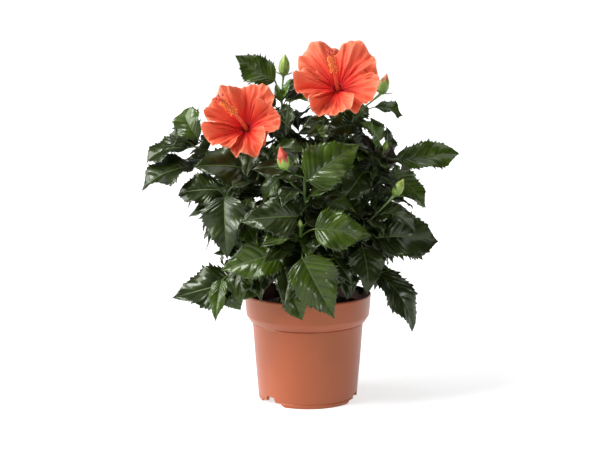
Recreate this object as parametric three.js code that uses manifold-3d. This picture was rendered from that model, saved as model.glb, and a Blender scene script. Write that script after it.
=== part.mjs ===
// A potted hibiscus shrub: a plastic nursery pot full of compost, a short woody trunk, the boughs
// that fork from it, the leafy shoots at their ends, and two open blooms on stalks of their own.
// Millimetres, +Z up, the front towards -Y. The origin is the middle of the pot's flat underside.
import * as THREE from "three";
import { mergeVertices } from "three/addons/utils/BufferGeometryUtils.js";
import Module from "manifold-3d";

const wasm = await Module();
wasm.setup();

// The pot: a 13 cm nursery pot with a deep collar and three drainage arches in its foot
const POT = {
  rimRadius: 65,
  collarFootRadius: 63.4,
  bodyTopRadius: 57.6,
  footRadius: 50.8,
  height: 110,
  collarDepth: 22,
  chamferDepth: 7,
  wall: 1.8,
  floorTop: 11,
  floorBottom: 8.8,
  lip: 1.2,
  footStep: 3,
  segments: 36,
};
const ARCH = { count: 3, firstBearing: -138, width: 38, height: 3.4, windowWidth: 15, windowHeight: 8.4 };
const FOOT_RIB = { hubRadius: 9, width: 5 };

// The compost, a little below the rim and slightly mounded round the trunk
const COMPOST = { edgeHeight: 96, mound: 4.5, segments: 20, lump: 1.1, rings: [48, 32], fit: 0.4, seed: 5 };

const CLEARANCE = 0.3;
const TRUNK = {
  lean: [4, 3, 46],
  bow: [-1.5, 1, 0],
  radius: 6.4,
  tipRadius: 5,
  flareRadius: 9.5,
  flareHeight: 9,
  sides: 10,
  steps: 7,
};

// A limb curves out and then up to its shoot's tip. The woody bough is its first part and the green stem the rest.
const LIMB = { out: 0.62, up: 0.34, boughShare: 0.48 };
const BOUGH = { sides: 6, steps: 3 };
const STEM = { sides: 4, steps: 3, radius: 2.2, tipRadius: 1.1 };

// Leaves stand one by one round a shoot, each turned by this angle from the one below
const DIVERGENCE = 137.5;
const OUTWARD_SHARE = 0.8;
const LEAF = {
  halfWidth: 0.33,
  baseRound: 0.5,
  tipTaper: 1.3,
  bellyRound: 0.4,
  bellyTaper: 0.5,
  fold: 0.42,
  relax: 0.26,
  thick: 0.022,
  youngest: 0.62,
  stalkShare: 0.34,
  stalkRadius: 0.9,
  stalkDrop: 0.4,
  lowest: 0.04,
  bend: 38,
  roomGap: 0.5,
  roomWiden: 1.1,
};
// How much a blade's upper side turns to the sky and away from the trunk
const LOOKS = { up: 0.75, out: 0.75 };
// The sections of a blade, as shares of its length, and how far each is widened or nipped in to make its teeth
const SHOWN_SECTIONS = [[0.06, 1], [0.3, 1.03], [0.52, 1.14], [0.6, 0.88], [0.82, 1.1]];
const RULE_SECTIONS = [[0.08, 1], [0.36, 1.06], [0.7, 1.12]];
// The pitch of the rule's leaves: at the foot of a stem, its gain up to the tip, and its spread
const PITCH = { lowest: -58, gain: 72, spread: 30 };
const BUD_PROFILE = [[0, 0.1], [0.18, 0.2], [0.5, 0.24], [0.8, 0.14], [1, 0.02]];
const TRIES = 14;
const STEM_LOOKS = 20;
const REACH_SHARE = 1.3;

// Each limb leaves its parent at a share of the parent's bough and ends at its shoot's tip. shown: the leaves that
// stand out, by the ends of their blades, how far they face the front, and their bend, width and belly where these
// aren't the usual ones. leaves: how many more are grown by the rule. Buds: the way and length of their stalks, their lean
// and their length.
const SHOOTS = [
  {
    name: "left_arm", from: "trunk", at: 0.22, tip: [-107, -12, 266], radius: 3.6, leaves: 9, blade: 44, seed: 651,
    shown: [
      { base: [-114, -20, 242], tip: [-167, -34, 220], front: 0.5, bend: 44, wide: 1.15, belly: 0.5 },
      { base: [-121, -8, 259], tip: [-165, -6, 243], front: 0.5, bend: 70, belly: 0.9 },
      { base: [-114, 2, 265], tip: [-143, 14, 272], front: 0.7, belly: 0.4 },
      { base: [-110, -14, 268], tip: [-126, 6, 299], front: 1, bend: 60, belly: 0.8 },
    ],
  },
  {
    name: "left_mid", from: "left_arm", at: 0.78, tip: [-80, -58, 216], radius: 2.8, leaves: 9, blade: 50, seed: 5938,
    shown: [
      { base: [-81, -66, 216], tip: [-78, -78, 156], front: 1, bend: 30 },
      { base: [-88, -52, 221], tip: [-130, -40, 215], front: 0.6, wide: 1.1, belly: 0.3 },
    ],
  },
  {
    name: "low_left", from: "left_arm", at: 0.34, tip: [-62, -50, 152], radius: 2.6, leaves: 8, blade: 56, seed: 1086,
    shown: [
      { base: [-72, -52, 129], tip: [-135, -46, 112], front: 0.5, bend: 24, belly: 0.1 },
      { base: [-84, -66, 134], tip: [-90, -78, 95], front: 0.9, bend: 45, wide: 0.66 },
      { base: [-65, -64, 140], tip: [-66, -72, 111], front: 0.9, wide: 1.15 },
    ],
  },
  {
    name: "left_back", from: "left_arm", at: 0.9, tip: [-88, 60, 240], radius: 2.6, leaves: 10, blade: 52, seed: 4485,
  },
  {
    name: "centre", from: "trunk", at: 0.5, tip: [-4, -78, 236], radius: 3.2, leaves: 9, blade: 54, seed: 53,
    shown: [
      { base: [-1, -86, 233], tip: [51, -62, 267], front: 1.1, bend: 25 },
      { base: [-9, -84, 199], tip: [-68, -90, 195], front: 0.9 },
    ],
    buds: [{ stalk: [[-8, -5, 1], [-18, -7, 8]], lean: [-0.22, -0.2, 1], long: 23 }],
  },
  {
    name: "centre_low", from: "centre", at: 0.5, tip: [-8, -84, 184], radius: 2.6, leaves: 8, blade: 54, seed: 483,
    shown: [
      { base: [6, -92, 188], tip: [61, -86, 181], front: 1 },
      { base: [-6, -97, 161], tip: [25, -97, 102], front: 1.1, bend: 25 },
      { base: [-25, -74, 163], tip: [-85, -74, 145], front: 0.8 },
    ],
    buds: [{ stalk: [[0, -2, 3], [0, -3, 5]], lean: [0, -0.2, 1], long: 8 }],
  },
  {
    name: "low_front", from: "trunk", at: 0.26, tip: [-16, -50, 136], radius: 2.5, leaves: 8, blade: 52, seed: 67,
  },
  {
    name: "right_mid", from: "trunk", at: 0.34, tip: [72, -20, 250], radius: 3.4, leaves: 10, blade: 56, seed: 1337,
    shown: [
      { base: [86, -16, 248], tip: [154, -10, 255], front: 0.8, bend: 12, wide: 0.68, belly: 0.9 },
      { base: [70, -30, 267], tip: [51, -52, 288], front: 0.4, bend: 20 },
      { base: [86, -4, 235], tip: [122, 4, 197], front: 0.9, bend: 10, wide: 0.85, belly: 0.6 },
      { base: [66, 0, 246], tip: [42, -4, 208], front: 0.9 },
      { base: [80, 0, 251], tip: [80, 0, 281], front: 0.6, bend: 20, wide: 1.2 },
    ],
    buds: [{ stalk: [[2, -1, 4], [4, -2, 8]], lean: [0.2, -0.1, 1], long: 10 }],
  },
  {
    name: "right_low", from: "right_mid", at: 0.74, tip: [58, -56, 190], radius: 2.7, leaves: 10, blade: 54, seed: 505,
    shown: [
      { base: [67, -60, 175], tip: [130, -42, 169], front: 1, bend: 26, wide: 1.05, belly: 0.4 },
      { base: [52, -70, 167], tip: [57, -82, 122], front: 0.9 },
    ],
    buds: [{ stalk: [[14, 4, 12], [26, 7, 25]], lean: [0.55, 0, 1], long: 19 }],
  },
  {
    name: "low_right", from: "right_mid", at: 0.34, tip: [54, -38, 146], radius: 2.5, leaves: 9, blade: 54, seed: 1363,
    shown: [{ base: [66, -45, 139], tip: [104, -48, 78], front: 0.55, bend: 80, wide: 0.66, belly: 0.35 }],
  },
  {
    name: "right_back", from: "right_mid", at: 0.9, tip: [96, 52, 226], radius: 2.6, leaves: 10, blade: 46, seed: 3280,
  },
  {
    name: "top_right", from: "trunk", at: 1, tip: [49, -10, 296], radius: 5, leaves: 10, blade: 52, seed: 1590,
    shown: [
      { base: [66, -8, 300], tip: [96, -2, 291], front: 0.45, bend: 50, belly: 1.3 },
      { base: [44, -22, 284], tip: [14, -34, 274], front: 0.8 },
    ],
    buds: [{ stalk: [[9, 1, 4], [24, 1, 17]], lean: [0.28, 0, 1], long: 21 }],
  },
  {
    name: "top_left", from: "trunk", at: 0.76, tip: [-45, -18, 266], radius: 3.4, leaves: 10, blade: 56, seed: 127,
    shown: [{ base: [-50, -34, 237], tip: [-113, -46, 243], front: 0.7, wide: 1.05, belly: 0.3 }],
  },
  {
    name: "top_centre", from: "top_left", at: 0.8, tip: [-27, 14, 311], radius: 2.6, leaves: 10, blade: 52, seed: 1819,
    shown: [
      { base: [-33, 15, 325], tip: [-74, 13, 352], front: 0.9, bend: -12, belly: 0.5 },
      { base: [-20, 8, 318], tip: [8, -2, 330], front: 0.6 },
    ],
    buds: [{ stalk: [[1, 0, 9], [2, 0, 20]], lean: [0.08, 0, 1], long: 22 }],
  },
  {
    name: "top_back", from: "top_right", at: 0.8, tip: [28, 50, 306], radius: 2.6, leaves: 10, blade: 48, seed: 578,
  },
  {
    name: "back", from: "trunk", at: 0.64, tip: [-18, 98, 252], radius: 3.4, leaves: 10, blade: 58, seed: 151,
  },
  {
    name: "back_low_left", from: "back", at: 0.5, tip: [-62, 88, 168], radius: 2.6, leaves: 9, blade: 58, seed: 1851,
  },
  {
    name: "back_low_right", from: "back", at: 0.7, tip: [66, 88, 178], radius: 2.6, leaves: 9, blade: 58, seed: 1017,
  },
  {
    name: "low_back", from: "trunk", at: 0.18, tip: [2, 52, 138], radius: 2.5, leaves: 7, blade: 56, seed: 181,
  },
];

// The open blooms: the shoot and the share of its stem that each stalk grows from, the throat of the flower, the way
// it faces, the bearing of its first petal, its radius and each petal's share of it, and how far its column bends
// to the right and up
const BLOOMS = [
  {
    name: "bloom_right", on: "top_right", at: 0.8, throat: [29, -36, 318], faces: [-0.12, -0.83, 0.54], spin: 50,
    radius: 44, reach: [1.1, 1.2, 0.96, 1, 1], bend: [0, 12], seed: 528,
  },
  {
    name: "bloom_left", on: "top_left", at: 0.9, throat: [-60, -50, 279], faces: [-0.17, -0.84, 0.5], spin: 2,
    radius: 41, reach: [0.92, 1.08, 1.04, 1, 0.96], bend: [-17, 9], seed: 210,
  },
];
const PETAL = {
  count: 5, throatRadius: 3, rise: 21, recurve: 5, thick: 1.1,
  rootSpread: 36, spread: 48, round: 0.24, overlap: 3.5, ruffle: 3.2, tilt: 7,
};
const COLUMN = {
  long: 46, radius: 1.9, tipRadius: 1.2, stamens: 9, stamenFrom: 0.52, stamenTo: 0.92, stamenLong: 6, stamenLift: 1.5,
  stigmas: 5, stigmaLong: 4.2, stigmaLift: 4.5,
};
const CALYX = { long: 22, sunk: 0.5, profile: [[0, 2], [0.25, 5.4], [0.6, 6.6], [1, 4.4]], bracts: 6, bractLong: 13 };

const COLOURS = {
  pot: "#b5603f", compost: "#231a14", bark: "#6b6242", bough: "#5d6a35", leaf: "#2c4a1e", petal: "#f0603a",
};

const UP = new THREE.Vector3(0, 0, 1);
const FRONT = new THREE.Vector3(0, -1, 0);
const radians = THREE.MathUtils.degToRad;

// Mulberry32, a small generator of repeatable random numbers from 0 to 1
function seeded(seed) {
  let state = seed >>> 0;
  return () => {
    state = (state + 0x6d2b79f5) >>> 0;
    let t = state;
    t = Math.imul(t ^ (t >>> 15), t | 1);
    t ^= t + Math.imul(t ^ (t >>> 7), t | 61);
    return ((t ^ (t >>> 14)) >>> 0) / 4294967296;
  };
}

// The unit vector at a bearing (0 is +X, 90 is +Y) and a pitch above the horizon
function pointing(bearing, pitch) {
  const b = radians(bearing);
  const p = radians(pitch);
  return new THREE.Vector3(Math.cos(p) * Math.cos(b), Math.cos(p) * Math.sin(b), Math.sin(p));
}

// A vector's part at right angles to a unit axis, as a unit vector
function square(vector, axis) {
  return vector.clone().addScaledVector(axis, -vector.dot(axis)).normalize();
}

// Turns a triangle mesh with shared corners into a solid, with its faces pointing out
function solid(geometry) {
  const bare = geometry.clone();
  bare.deleteAttribute("normal");
  bare.deleteAttribute("uv");
  const merged = mergeVertices(bare, 1e-4);
  const v = merged.attributes.position.array;
  const t = new Uint32Array(merged.index.array);
  const corner = (i) => new THREE.Vector3(v[3 * i], v[3 * i + 1], v[3 * i + 2]);
  let sixVolumes = 0;
  for (let i = 0; i < t.length; i += 3) {
    sixVolumes += corner(t[i]).dot(corner(t[i + 1]).cross(corner(t[i + 2])));
  }
  if (sixVolumes < 0) {
    for (let i = 0; i < t.length; i += 3) {
      [t[i], t[i + 1]] = [t[i + 1], t[i]];
    }
  }
  return new wasm.Manifold(new wasm.Mesh({ numProp: 3, vertProperties: v, triVerts: t }));
}

// A closed solid through rings of points. A ring of one point is a tip, and a longer one at an end gets a flat cap.
function loft(rings) {
  const points = rings.flat();
  const first = [];
  let sum = 0;
  for (const ring of rings) {
    first.push(sum);
    sum += ring.length;
  }
  const faces = [];
  for (let k = 0; k + 1 < rings.length; k++) {
    const [a, b] = [rings[k].length, rings[k + 1].length];
    for (let i = 0; i < Math.max(a, b); i++) {
      const j = (i + 1) % Math.max(a, b);
      if (a > 1) faces.push(first[k] + i, first[k] + j, first[k + 1] + (b > 1 ? j : 0));
      if (b > 1) faces.push(first[k] + (a > 1 ? i : 0), first[k + 1] + j, first[k + 1] + i);
    }
  }
  const cap = (k, flip) => {
    for (let i = 1; i + 1 < rings[k].length; i++) {
      faces.push(first[k], first[k] + (flip ? i + 1 : i), first[k] + (flip ? i : i + 1));
    }
  };
  cap(0, true);
  cap(rings.length - 1, false);
  return solid(new THREE.BufferGeometry().setFromPoints(points).setIndex(faces));
}

// A tapering tube along a curve: radiusAt gives its radius at each share of the way
function tube(curve, radiusAt, sides, steps) {
  const frames = curve.computeFrenetFrames(steps, false);
  const rings = [];
  for (let k = 0; k <= steps; k++) {
    const middle = curve.getPointAt(k / steps);
    const ring = [];
    for (let i = 0; i < sides; i++) {
      const a = (2 * Math.PI * i) / sides;
      ring.push(
        middle
          .clone()
          .addScaledVector(frames.normals[k], radiusAt(k / steps) * Math.cos(a))
          .addScaledVector(frames.binormals[k], radiusAt(k / steps) * Math.sin(a)),
      );
    }
    rings.push(ring);
  }
  return loft(rings);
}

// A straight tapering rod between two points
function rod(from, to, radius, endRadius, sides) {
  return tube(new THREE.LineCurve3(from, to), (t) => radius + (endRadius - radius) * t, sides, 1);
}

function meshOf(body) {
  const m = body.getMesh();
  return new THREE.BufferGeometry()
    .setAttribute("position", new THREE.BufferAttribute(m.vertProperties, 3))
    .setIndex(new THREE.BufferAttribute(m.triVerts, 1));
}

function finishOf(colour, roughness) {
  return new THREE.MeshStandardMaterial({ color: colour, roughness, metalness: 0, flatShading: true });
}

const FINISHES = {
  pot: finishOf(COLOURS.pot, 0.45),
  compost: finishOf(COLOURS.compost, 1),
  bark: finishOf(COLOURS.bark, 0.85),
  bough: finishOf(COLOURS.bough, 0.7),
  leaf: finishOf(COLOURS.leaf, 0.3),
  petal: finishOf(COLOURS.petal, 0.6),
};

const shrub = new THREE.Group();
function addNode(name, body, finish) {
  const mesh = new THREE.Mesh(meshOf(body), finish);
  mesh.name = name;
  shrub.add(mesh);
}

// A ring-shaped or full solid turned round the pot's axis from a closed profile of radius and height
function turned(profile, segments) {
  const lathe = new THREE.LatheGeometry(profile.map(([r, z]) => new THREE.Vector2(r, z)), segments);
  return solid(lathe.rotateX(Math.PI / 2));
}

// The outer radius of the pot's body at a height
function bodyRadius(z) {
  const shoulder = POT.height - POT.collarDepth - POT.chamferDepth;
  return POT.footRadius + ((POT.bodyTopRadius - POT.footRadius) * z) / shoulder;
}

function makePot() {
  const { rimRadius, collarFootRadius, height, collarDepth, chamferDepth, wall, floorTop, floorBottom, lip } = POT;
  const shoulder = height - collarDepth - chamferDepth;
  const profile = [
    [0, floorBottom],
    [bodyRadius(floorBottom) - 2 * wall, floorBottom],
    [POT.footRadius - 2 * wall, 0],
    [POT.footRadius, 0],
    [bodyRadius(POT.footStep), POT.footStep],
    [POT.bodyTopRadius, shoulder],
    [collarFootRadius, shoulder + chamferDepth],
    [rimRadius, height - lip],
    [rimRadius - lip / 2, height],
    [rimRadius - wall, height],
    [collarFootRadius - wall, shoulder + chamferDepth],
    [POT.bodyTopRadius - wall, shoulder],
    [bodyRadius(floorTop) - wall, floorTop],
    [0, floorTop],
    [0, floorBottom],
  ];
  let pot = turned(profile, POT.segments);
  const hub = new THREE.CylinderGeometry(FOOT_RIB.hubRadius, FOOT_RIB.hubRadius, floorBottom + 1, 16);
  pot = pot.add(solid(hub.rotateX(Math.PI / 2).translate(0, 0, (floorBottom + 1) / 2)));
  for (let i = 0; i < ARCH.count; i++) {
    const bearing = radians(ARCH.firstBearing + (360 / ARCH.count) * i);
    const rib = new THREE.BoxGeometry(POT.footRadius - wall, FOOT_RIB.width, floorBottom + 1);
    rib.translate((POT.footRadius - wall) / 2, 0, (floorBottom + 1) / 2).rotateZ(bearing + Math.PI / ARCH.count);
    pot = pot.add(solid(rib));
    for (const [wide, high] of [[ARCH.width, ARCH.height], [ARCH.windowWidth, ARCH.windowHeight]]) {
      const arch = new THREE.Shape();
      arch.moveTo(-wide / 2, -1).lineTo(wide / 2, -1).lineTo(wide * 0.36, high).lineTo(-wide * 0.36, high);
      const cut = new THREE.ExtrudeGeometry(arch, { depth: 30, bevelEnabled: false });
      cut.rotateX(Math.PI / 2).rotateZ(Math.PI / 2).translate(POT.footRadius - 12, 0, 0).rotateZ(bearing);
      pot = pot.subtract(solid(cut));
    }
  }
  return pot;
}

// The compost's height at a distance from the pot's middle, before its lumps
function compostHeight(radius) {
  return COMPOST.edgeHeight + COMPOST.mound * (1 - (radius / POT.bodyTopRadius) ** 2);
}

function makeCompost() {
  const shoulder = POT.height - POT.collarDepth - POT.chamferDepth;
  const gap = COMPOST.fit;
  const topRadius = POT.collarFootRadius - POT.wall - gap;
  const draw = seeded(COMPOST.seed);
  const ringAt = (radius, height, lump) => {
    const ring = [];
    for (let i = 0; i < COMPOST.segments; i++) {
      const a = (2 * Math.PI * i) / COMPOST.segments;
      ring.push(new THREE.Vector3(radius * Math.cos(a), radius * Math.sin(a), height + lump * (draw() - 0.5)));
    }
    return ring;
  };
  const flatRadius = TRUNK.flareRadius + 3;
  const innerTop = bodyRadius(POT.floorTop) - POT.wall - gap;
  return loft([
    ringAt(innerTop, POT.floorTop + gap, 0),
    ringAt(POT.bodyTopRadius - POT.wall - gap, shoulder, 0),
    ringAt(topRadius, shoulder + POT.chamferDepth, 0),
    ringAt(topRadius, COMPOST.edgeHeight, COMPOST.lump),
    ...COMPOST.rings.map((radius) => ringAt(radius, compostHeight(radius), 2 * COMPOST.lump)),
    ringAt(flatRadius, compostHeight(0), 0),
    [new THREE.Vector3(0, 0, compostHeight(0))],
  ]);
}

// Every limb has a curve, the radius along it, and the sides and steps of its faceted solid
const boughs = new Map();
const stems = new Map();

function tubeOf(limb, grow = 0) {
  return tube(limb.curve, (t) => limb.radiusAt(t) + grow, limb.sides, limb.steps);
}

// The room round a limb: larger all round by a gap, and longer at both ends
function around(limb, gap) {
  const { v0, v1, v2 } = limb.curve;
  const start = v0.clone().addScaledVector(limb.curve.getTangent(0), -gap);
  const end = v2.clone().addScaledVector(limb.curve.getTangent(1), gap);
  const curve = new THREE.QuadraticBezierCurve3(start, v1, end);
  return tube(curve, (t) => limb.radiusAt(t) / Math.cos(Math.PI / limb.sides) + gap, limb.sides, limb.steps);
}

function makeTrunk() {
  const foot = new THREE.Vector3(0, 0, compostHeight(0) + CLEARANCE);
  const top = foot.clone().add(new THREE.Vector3(...TRUNK.lean));
  const bend = foot.clone().lerp(top, 0.5).add(new THREE.Vector3(...TRUNK.bow));
  const radiusAt = (t) => {
    const flare = Math.max(0, 1 - (t * TRUNK.lean[2]) / TRUNK.flareHeight);
    return TRUNK.radius + (TRUNK.tipRadius - TRUNK.radius) * t + (TRUNK.flareRadius - TRUNK.radius) * flare ** 2;
  };
  const curve = new THREE.QuadraticBezierCurve3(foot, bend, top);
  const trunk = { curve, radiusAt, sides: TRUNK.sides, steps: TRUNK.steps };
  boughs.set("trunk", trunk);
  // The curve leans, so the foot is cut level just above the compost
  const below = new THREE.BoxGeometry(60, 60, 20).translate(0, 0, foot.z - 10);
  return tubeOf(trunk).subtract(solid(below));
}

// Works out a limb's two parts: the woody bough from its parent, and the green stem that carries on to the tip
function growLimb(shoot) {
  const parent = boughs.get(shoot.from);
  const root = parent.curve.getPoint(shoot.at);
  const tip = new THREE.Vector3(...shoot.tip);
  const way = tip.clone().sub(root);
  const bend = root.clone().add(new THREE.Vector3(way.x * LIMB.out, way.y * LIMB.out, way.z * LIMB.up));
  if (shoot.at === 1) {
    const along = parent.curve.getTangent(1);
    root.addScaledVector(along, CLEARANCE);
    bend.copy(root).addScaledVector(along, way.length() * LIMB.up);
  }
  const share = LIMB.boughShare;
  const [low, high] = [root.clone().lerp(bend, share), bend.clone().lerp(tip, share)];
  const end = low.clone().lerp(high, share);
  const boughRadius = (t) => shoot.radius + (STEM.radius + 0.2 - shoot.radius) * t;
  const stemRadius = (t) => STEM.radius + (STEM.tipRadius - STEM.radius) * t;
  const boughCurve = new THREE.QuadraticBezierCurve3(root, low, end);
  const start = end.clone().addScaledVector(boughCurve.getTangent(1), CLEARANCE);
  const stemCurve = new THREE.QuadraticBezierCurve3(start, high, tip);
  boughs.set(shoot.name, { curve: boughCurve, radiusAt: boughRadius, ...BOUGH });
  stems.set(shoot.name, { curve: stemCurve, radiusAt: stemRadius, ...STEM });
}

function largest(body) {
  return body.decompose().reduce((a, b) => (b.volume() > a.volume() ? b : a));
}

// A bough starts inside its parent, so the room round each limb before it is cut away
function makeBough(name) {
  let body = tubeOf(boughs.get(name));
  for (const [other, limb] of boughs) {
    if (other === name) break;
    body = body.subtract(around(limb, CLEARANCE));
    if (stems.has(other)) body = body.subtract(around(stems.get(other), CLEARANCE));
  }
  return largest(body);
}

// Half a blade's width at a share of its length, as a share of its widest. A belly brings its widest part nearer to
// its tip.
function bladeShape(u, belly) {
  const round = LEAF.baseRound + LEAF.bellyRound * belly;
  const taper = LEAF.tipTaper - LEAF.bellyTaper * belly;
  const peak = round / (round + taper);
  return (u ** round * (1 - u) ** taper) / (peak ** round * (1 - peak) ** taper);
}

// A point of a blade: u runs from its base to its tip, and v from one edge, through the midrib, to the other.
// The midrib is an arc, the two halves are folded up along it, and they ease back towards the edges.
function bladePoint(leaf, u, v, widen = 1) {
  const start = radians(leaf.bend) / 2;
  const angle = start * (1 - 2 * u);
  const along = (leaf.long * (Math.sin(start) - Math.sin(angle))) / (2 * start);
  const lift = (leaf.long * (Math.cos(angle) - Math.cos(start))) / (2 * start);
  const half = leaf.long * LEAF.halfWidth * leaf.wide * bladeShape(u, leaf.belly) * widen;
  const rise = half * (LEAF.fold * Math.abs(v) - LEAF.relax * v * v);
  const normal = leaf.face.clone().multiplyScalar(Math.cos(angle)).addScaledVector(leaf.along, -Math.sin(angle));
  const point = leaf.base
    .clone()
    .addScaledVector(leaf.along, along)
    .addScaledVector(leaf.face, lift)
    .addScaledVector(leaf.side, half * v)
    .addScaledVector(normal, rise);
  return { point, normal };
}

// A diamond of four points round a leaf's stalk, in the order of the blade's sections
function stalkRing(leaf, point, along, radius) {
  const up = square(leaf.face, along);
  const side = new THREE.Vector3().crossVectors(along, up);
  const ways = [[side, -1], [up, 1], [side, 1], [up, -1]];
  return ways.map(([way, sign]) => point.clone().addScaledVector(way, sign * radius));
}

// Leaf, stalk and all: from inside the stem, along the stalk, and out through the blade's sections to its tip
function leafSolid(leaf, sections) {
  const thick = leaf.long * LEAF.thick;
  const stalk = leaf.base.clone().sub(leaf.root).normalize();
  const rings = [
    stalkRing(leaf, leaf.root, stalk, LEAF.stalkRadius),
    stalkRing(leaf, leaf.base, stalk, LEAF.stalkRadius * 0.8),
  ];
  for (const [u, widen] of sections) {
    const middle = bladePoint(leaf, u, 0);
    rings.push([
      bladePoint(leaf, u, -1, widen).point,
      middle.point,
      bladePoint(leaf, u, 1, widen).point,
      middle.point.clone().addScaledVector(middle.normal, -thick),
    ]);
  }
  rings.push([bladePoint(leaf, 1, 0).point]);
  return loft(rings);
}

// The room a blade needs, thicker and wider than the blade
function bladeRoom(leaf) {
  const down = LEAF.roomGap + leaf.long * LEAF.thick;
  const rings = [0.03, 0.25, 0.5, 0.75, 0.92].map((u) => {
    const [left, middle, right] = [-1, 0, 1].map((v) => bladePoint(leaf, u, v, LEAF.roomWiden));
    const at = (spot, height) => spot.point.clone().addScaledVector(spot.normal, height);
    return [
      at(left, -LEAF.roomGap),
      at(left, LEAF.roomGap),
      at(middle, LEAF.roomGap),
      at(right, LEAF.roomGap),
      at(right, -LEAF.roomGap),
      at(middle, -down),
    ];
  });
  rings.push([bladePoint(leaf, 1, 0).point.addScaledVector(leaf.along, LEAF.roomGap)]);
  return loft(rings);
}

function stalkRoom(leaf) {
  const from = leaf.root.clone().lerp(leaf.base, 0.12);
  return rod(from, leaf.base, LEAF.stalkRadius + LEAF.roomGap, LEAF.stalkRadius + LEAF.roomGap, 4);
}

// Fills in a leaf's directions and its length along the midrib from its two ends
function placeLeaf(root, base, tip, front, bend, wide = 1, belly = 0) {
  const along = tip.clone().sub(base).normalize();
  const outward = new THREE.Vector3(base.x, base.y, 0).normalize();
  const looks = UP.clone().multiplyScalar(LOOKS.up).addScaledVector(outward, LOOKS.out).addScaledVector(FRONT, front);
  const face = square(looks, along);
  const side = new THREE.Vector3().crossVectors(along, face);
  const half = radians(bend) / 2;
  const long = (base.distanceTo(tip) * half) / Math.sin(half);
  return { root, base, along, face, side, long, bend, wide, belly };
}

// A leaf that is shown. A later try at it shifts its ends a little further from where they are asked for.
function shownLeaf(shoot, index, attempt) {
  const { base, tip, front, bend = LEAF.bend, wide, belly } = shoot.shown[index];
  const draw = seeded(shoot.seed * 1000 + 500 + index * 20 + attempt);
  const shifted = (point) => new THREE.Vector3(...point.map((c) => c + 2 * attempt * (draw() - 0.5)));
  const [from, to] = [shifted(base), shifted(tip)];
  const { curve } = stems.get(shoot.name);
  let nearest = 0;
  for (let step = 1; step <= STEM_LOOKS; step++) {
    const t = step / STEM_LOOKS;
    if (curve.getPoint(t).distanceTo(from) < curve.getPoint(nearest).distanceTo(from)) nearest = t;
  }
  // The stalk leaves the stem a little below the point that is nearest to the blade
  const drop = (LEAF.stalkDrop * curve.getPoint(nearest).distanceTo(from)) / curve.v0.distanceTo(curve.v2);
  return placeLeaf(curve.getPoint(Math.max(LEAF.lowest, nearest - drop)), from, to, front, bend, wide, belly);
}

// A leaf grown by the rule. A later try at it turns it further, tips it more and makes it a little smaller.
function seededLeaf(shoot, index, attempt) {
  const draw = seeded(shoot.seed * 1000 + index * 20 + attempt);
  const up = (index + 0.5 + 0.3 * (draw() - 0.5)) / shoot.leaves;
  const outward = THREE.MathUtils.radToDeg(Math.atan2(shoot.tip[1], shoot.tip[0]));
  const turn = ((shoot.seed * 57 + index * DIVERGENCE) % 360) - 180;
  const bearing = outward + turn * OUTWARD_SHARE + attempt * 30 * (draw() - 0.5);
  const pitch = PITCH.lowest + PITCH.gain * up + (PITCH.spread + 8 * attempt) * (draw() - 0.5);
  const long = shoot.blade * (1 - (1 - LEAF.youngest) * up) * (0.92 + 0.16 * draw()) * (1 - 0.03 * attempt);
  const root = stems.get(shoot.name).curve.getPoint(LEAF.lowest + (1 - LEAF.lowest) * up);
  const base = root.clone().addScaledVector(pointing(bearing, Math.min(60, pitch + 45)), long * LEAF.stalkShare);
  const tip = base.clone().addScaledVector(pointing(bearing, pitch), long);
  return placeLeaf(root, base, tip, 0.1, 26 + 30 * draw());
}

// The solids that are already in place, so that no leaf grows through them
const taken = [];
function take(body, owner) {
  const { min, max } = body.boundingBox();
  taken.push({ body, owner, box: new THREE.Box3(new THREE.Vector3(...min), new THREE.Vector3(...max)) });
}

function meets(body, ignored) {
  const { min, max } = body.boundingBox();
  const box = new THREE.Box3(new THREE.Vector3(...min), new THREE.Vector3(...max));
  return taken.some((t) => t.owner !== ignored && t.box.intersectsBox(box) && t.body.intersect(body).volume() > 1e-4);
}

// A leaf stays in its own shoot's space: its tip isn't much nearer to another shoot's stem
function keepsToItsSpace(leaf, name) {
  const { point } = bladePoint(leaf, 1, 0);
  const looks = [0, 0.25, 0.5, 0.75, 1];
  const distance = (stem) => Math.min(...looks.map((t) => stem.curve.getPoint(t).distanceTo(point)));
  const own = distance(stems.get(name));
  return [...stems].every(([other, stem]) => other === name || distance(stem) * REACH_SHARE > own);
}

// Tries a leaf until it finds room, and keeps it
function growLeaf(shoot, count, leafAt, shown) {
  for (let index = 0; index < count; index++) {
    for (let attempt = 0; attempt < TRIES; attempt++) {
      const leaf = leafAt(shoot, index, attempt);
      if (!shown && !keepsToItsSpace(leaf, shoot.name)) continue;
      if (meets(bladeRoom(leaf), "") || meets(stalkRoom(leaf), "stem_" + shoot.name)) continue;
      const body = leafSolid(leaf, shown ? SHOWN_SECTIONS : RULE_SECTIONS);
      shoot.grown.push(body);
      take(body, shoot.name);
      break;
    }
  }
}

// Points in a ring round an axis
function ringRound(middle, across, over, radius, count) {
  return Array.from({ length: count }, (_, i) => {
    const a = (2 * Math.PI * i) / count;
    return middle.clone().addScaledVector(across, radius * Math.cos(a)).addScaledVector(over, radius * Math.sin(a));
  });
}

// A pointed three-sided spike
function spike(from, to, radius) {
  const along = to.clone().sub(from).normalize();
  const across = square(Math.abs(along.z) < 0.9 ? UP : FRONT, along);
  return loft([ringRound(from, across, new THREE.Vector3().crossVectors(along, across), radius, 3), [to]]);
}

// A star of thin bracts round the foot of a bud or bloom
function bractSolids(foot, axis, across, over, count, long, lift) {
  return Array.from({ length: count }, (_, i) => {
    const a = (2 * Math.PI * (i + 0.5)) / count;
    const out = across.clone().multiplyScalar(Math.cos(a)).addScaledVector(over, Math.sin(a));
    return spike(foot, foot.clone().addScaledVector(out, long).addScaledVector(axis, lift), 0.9);
  });
}

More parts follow.
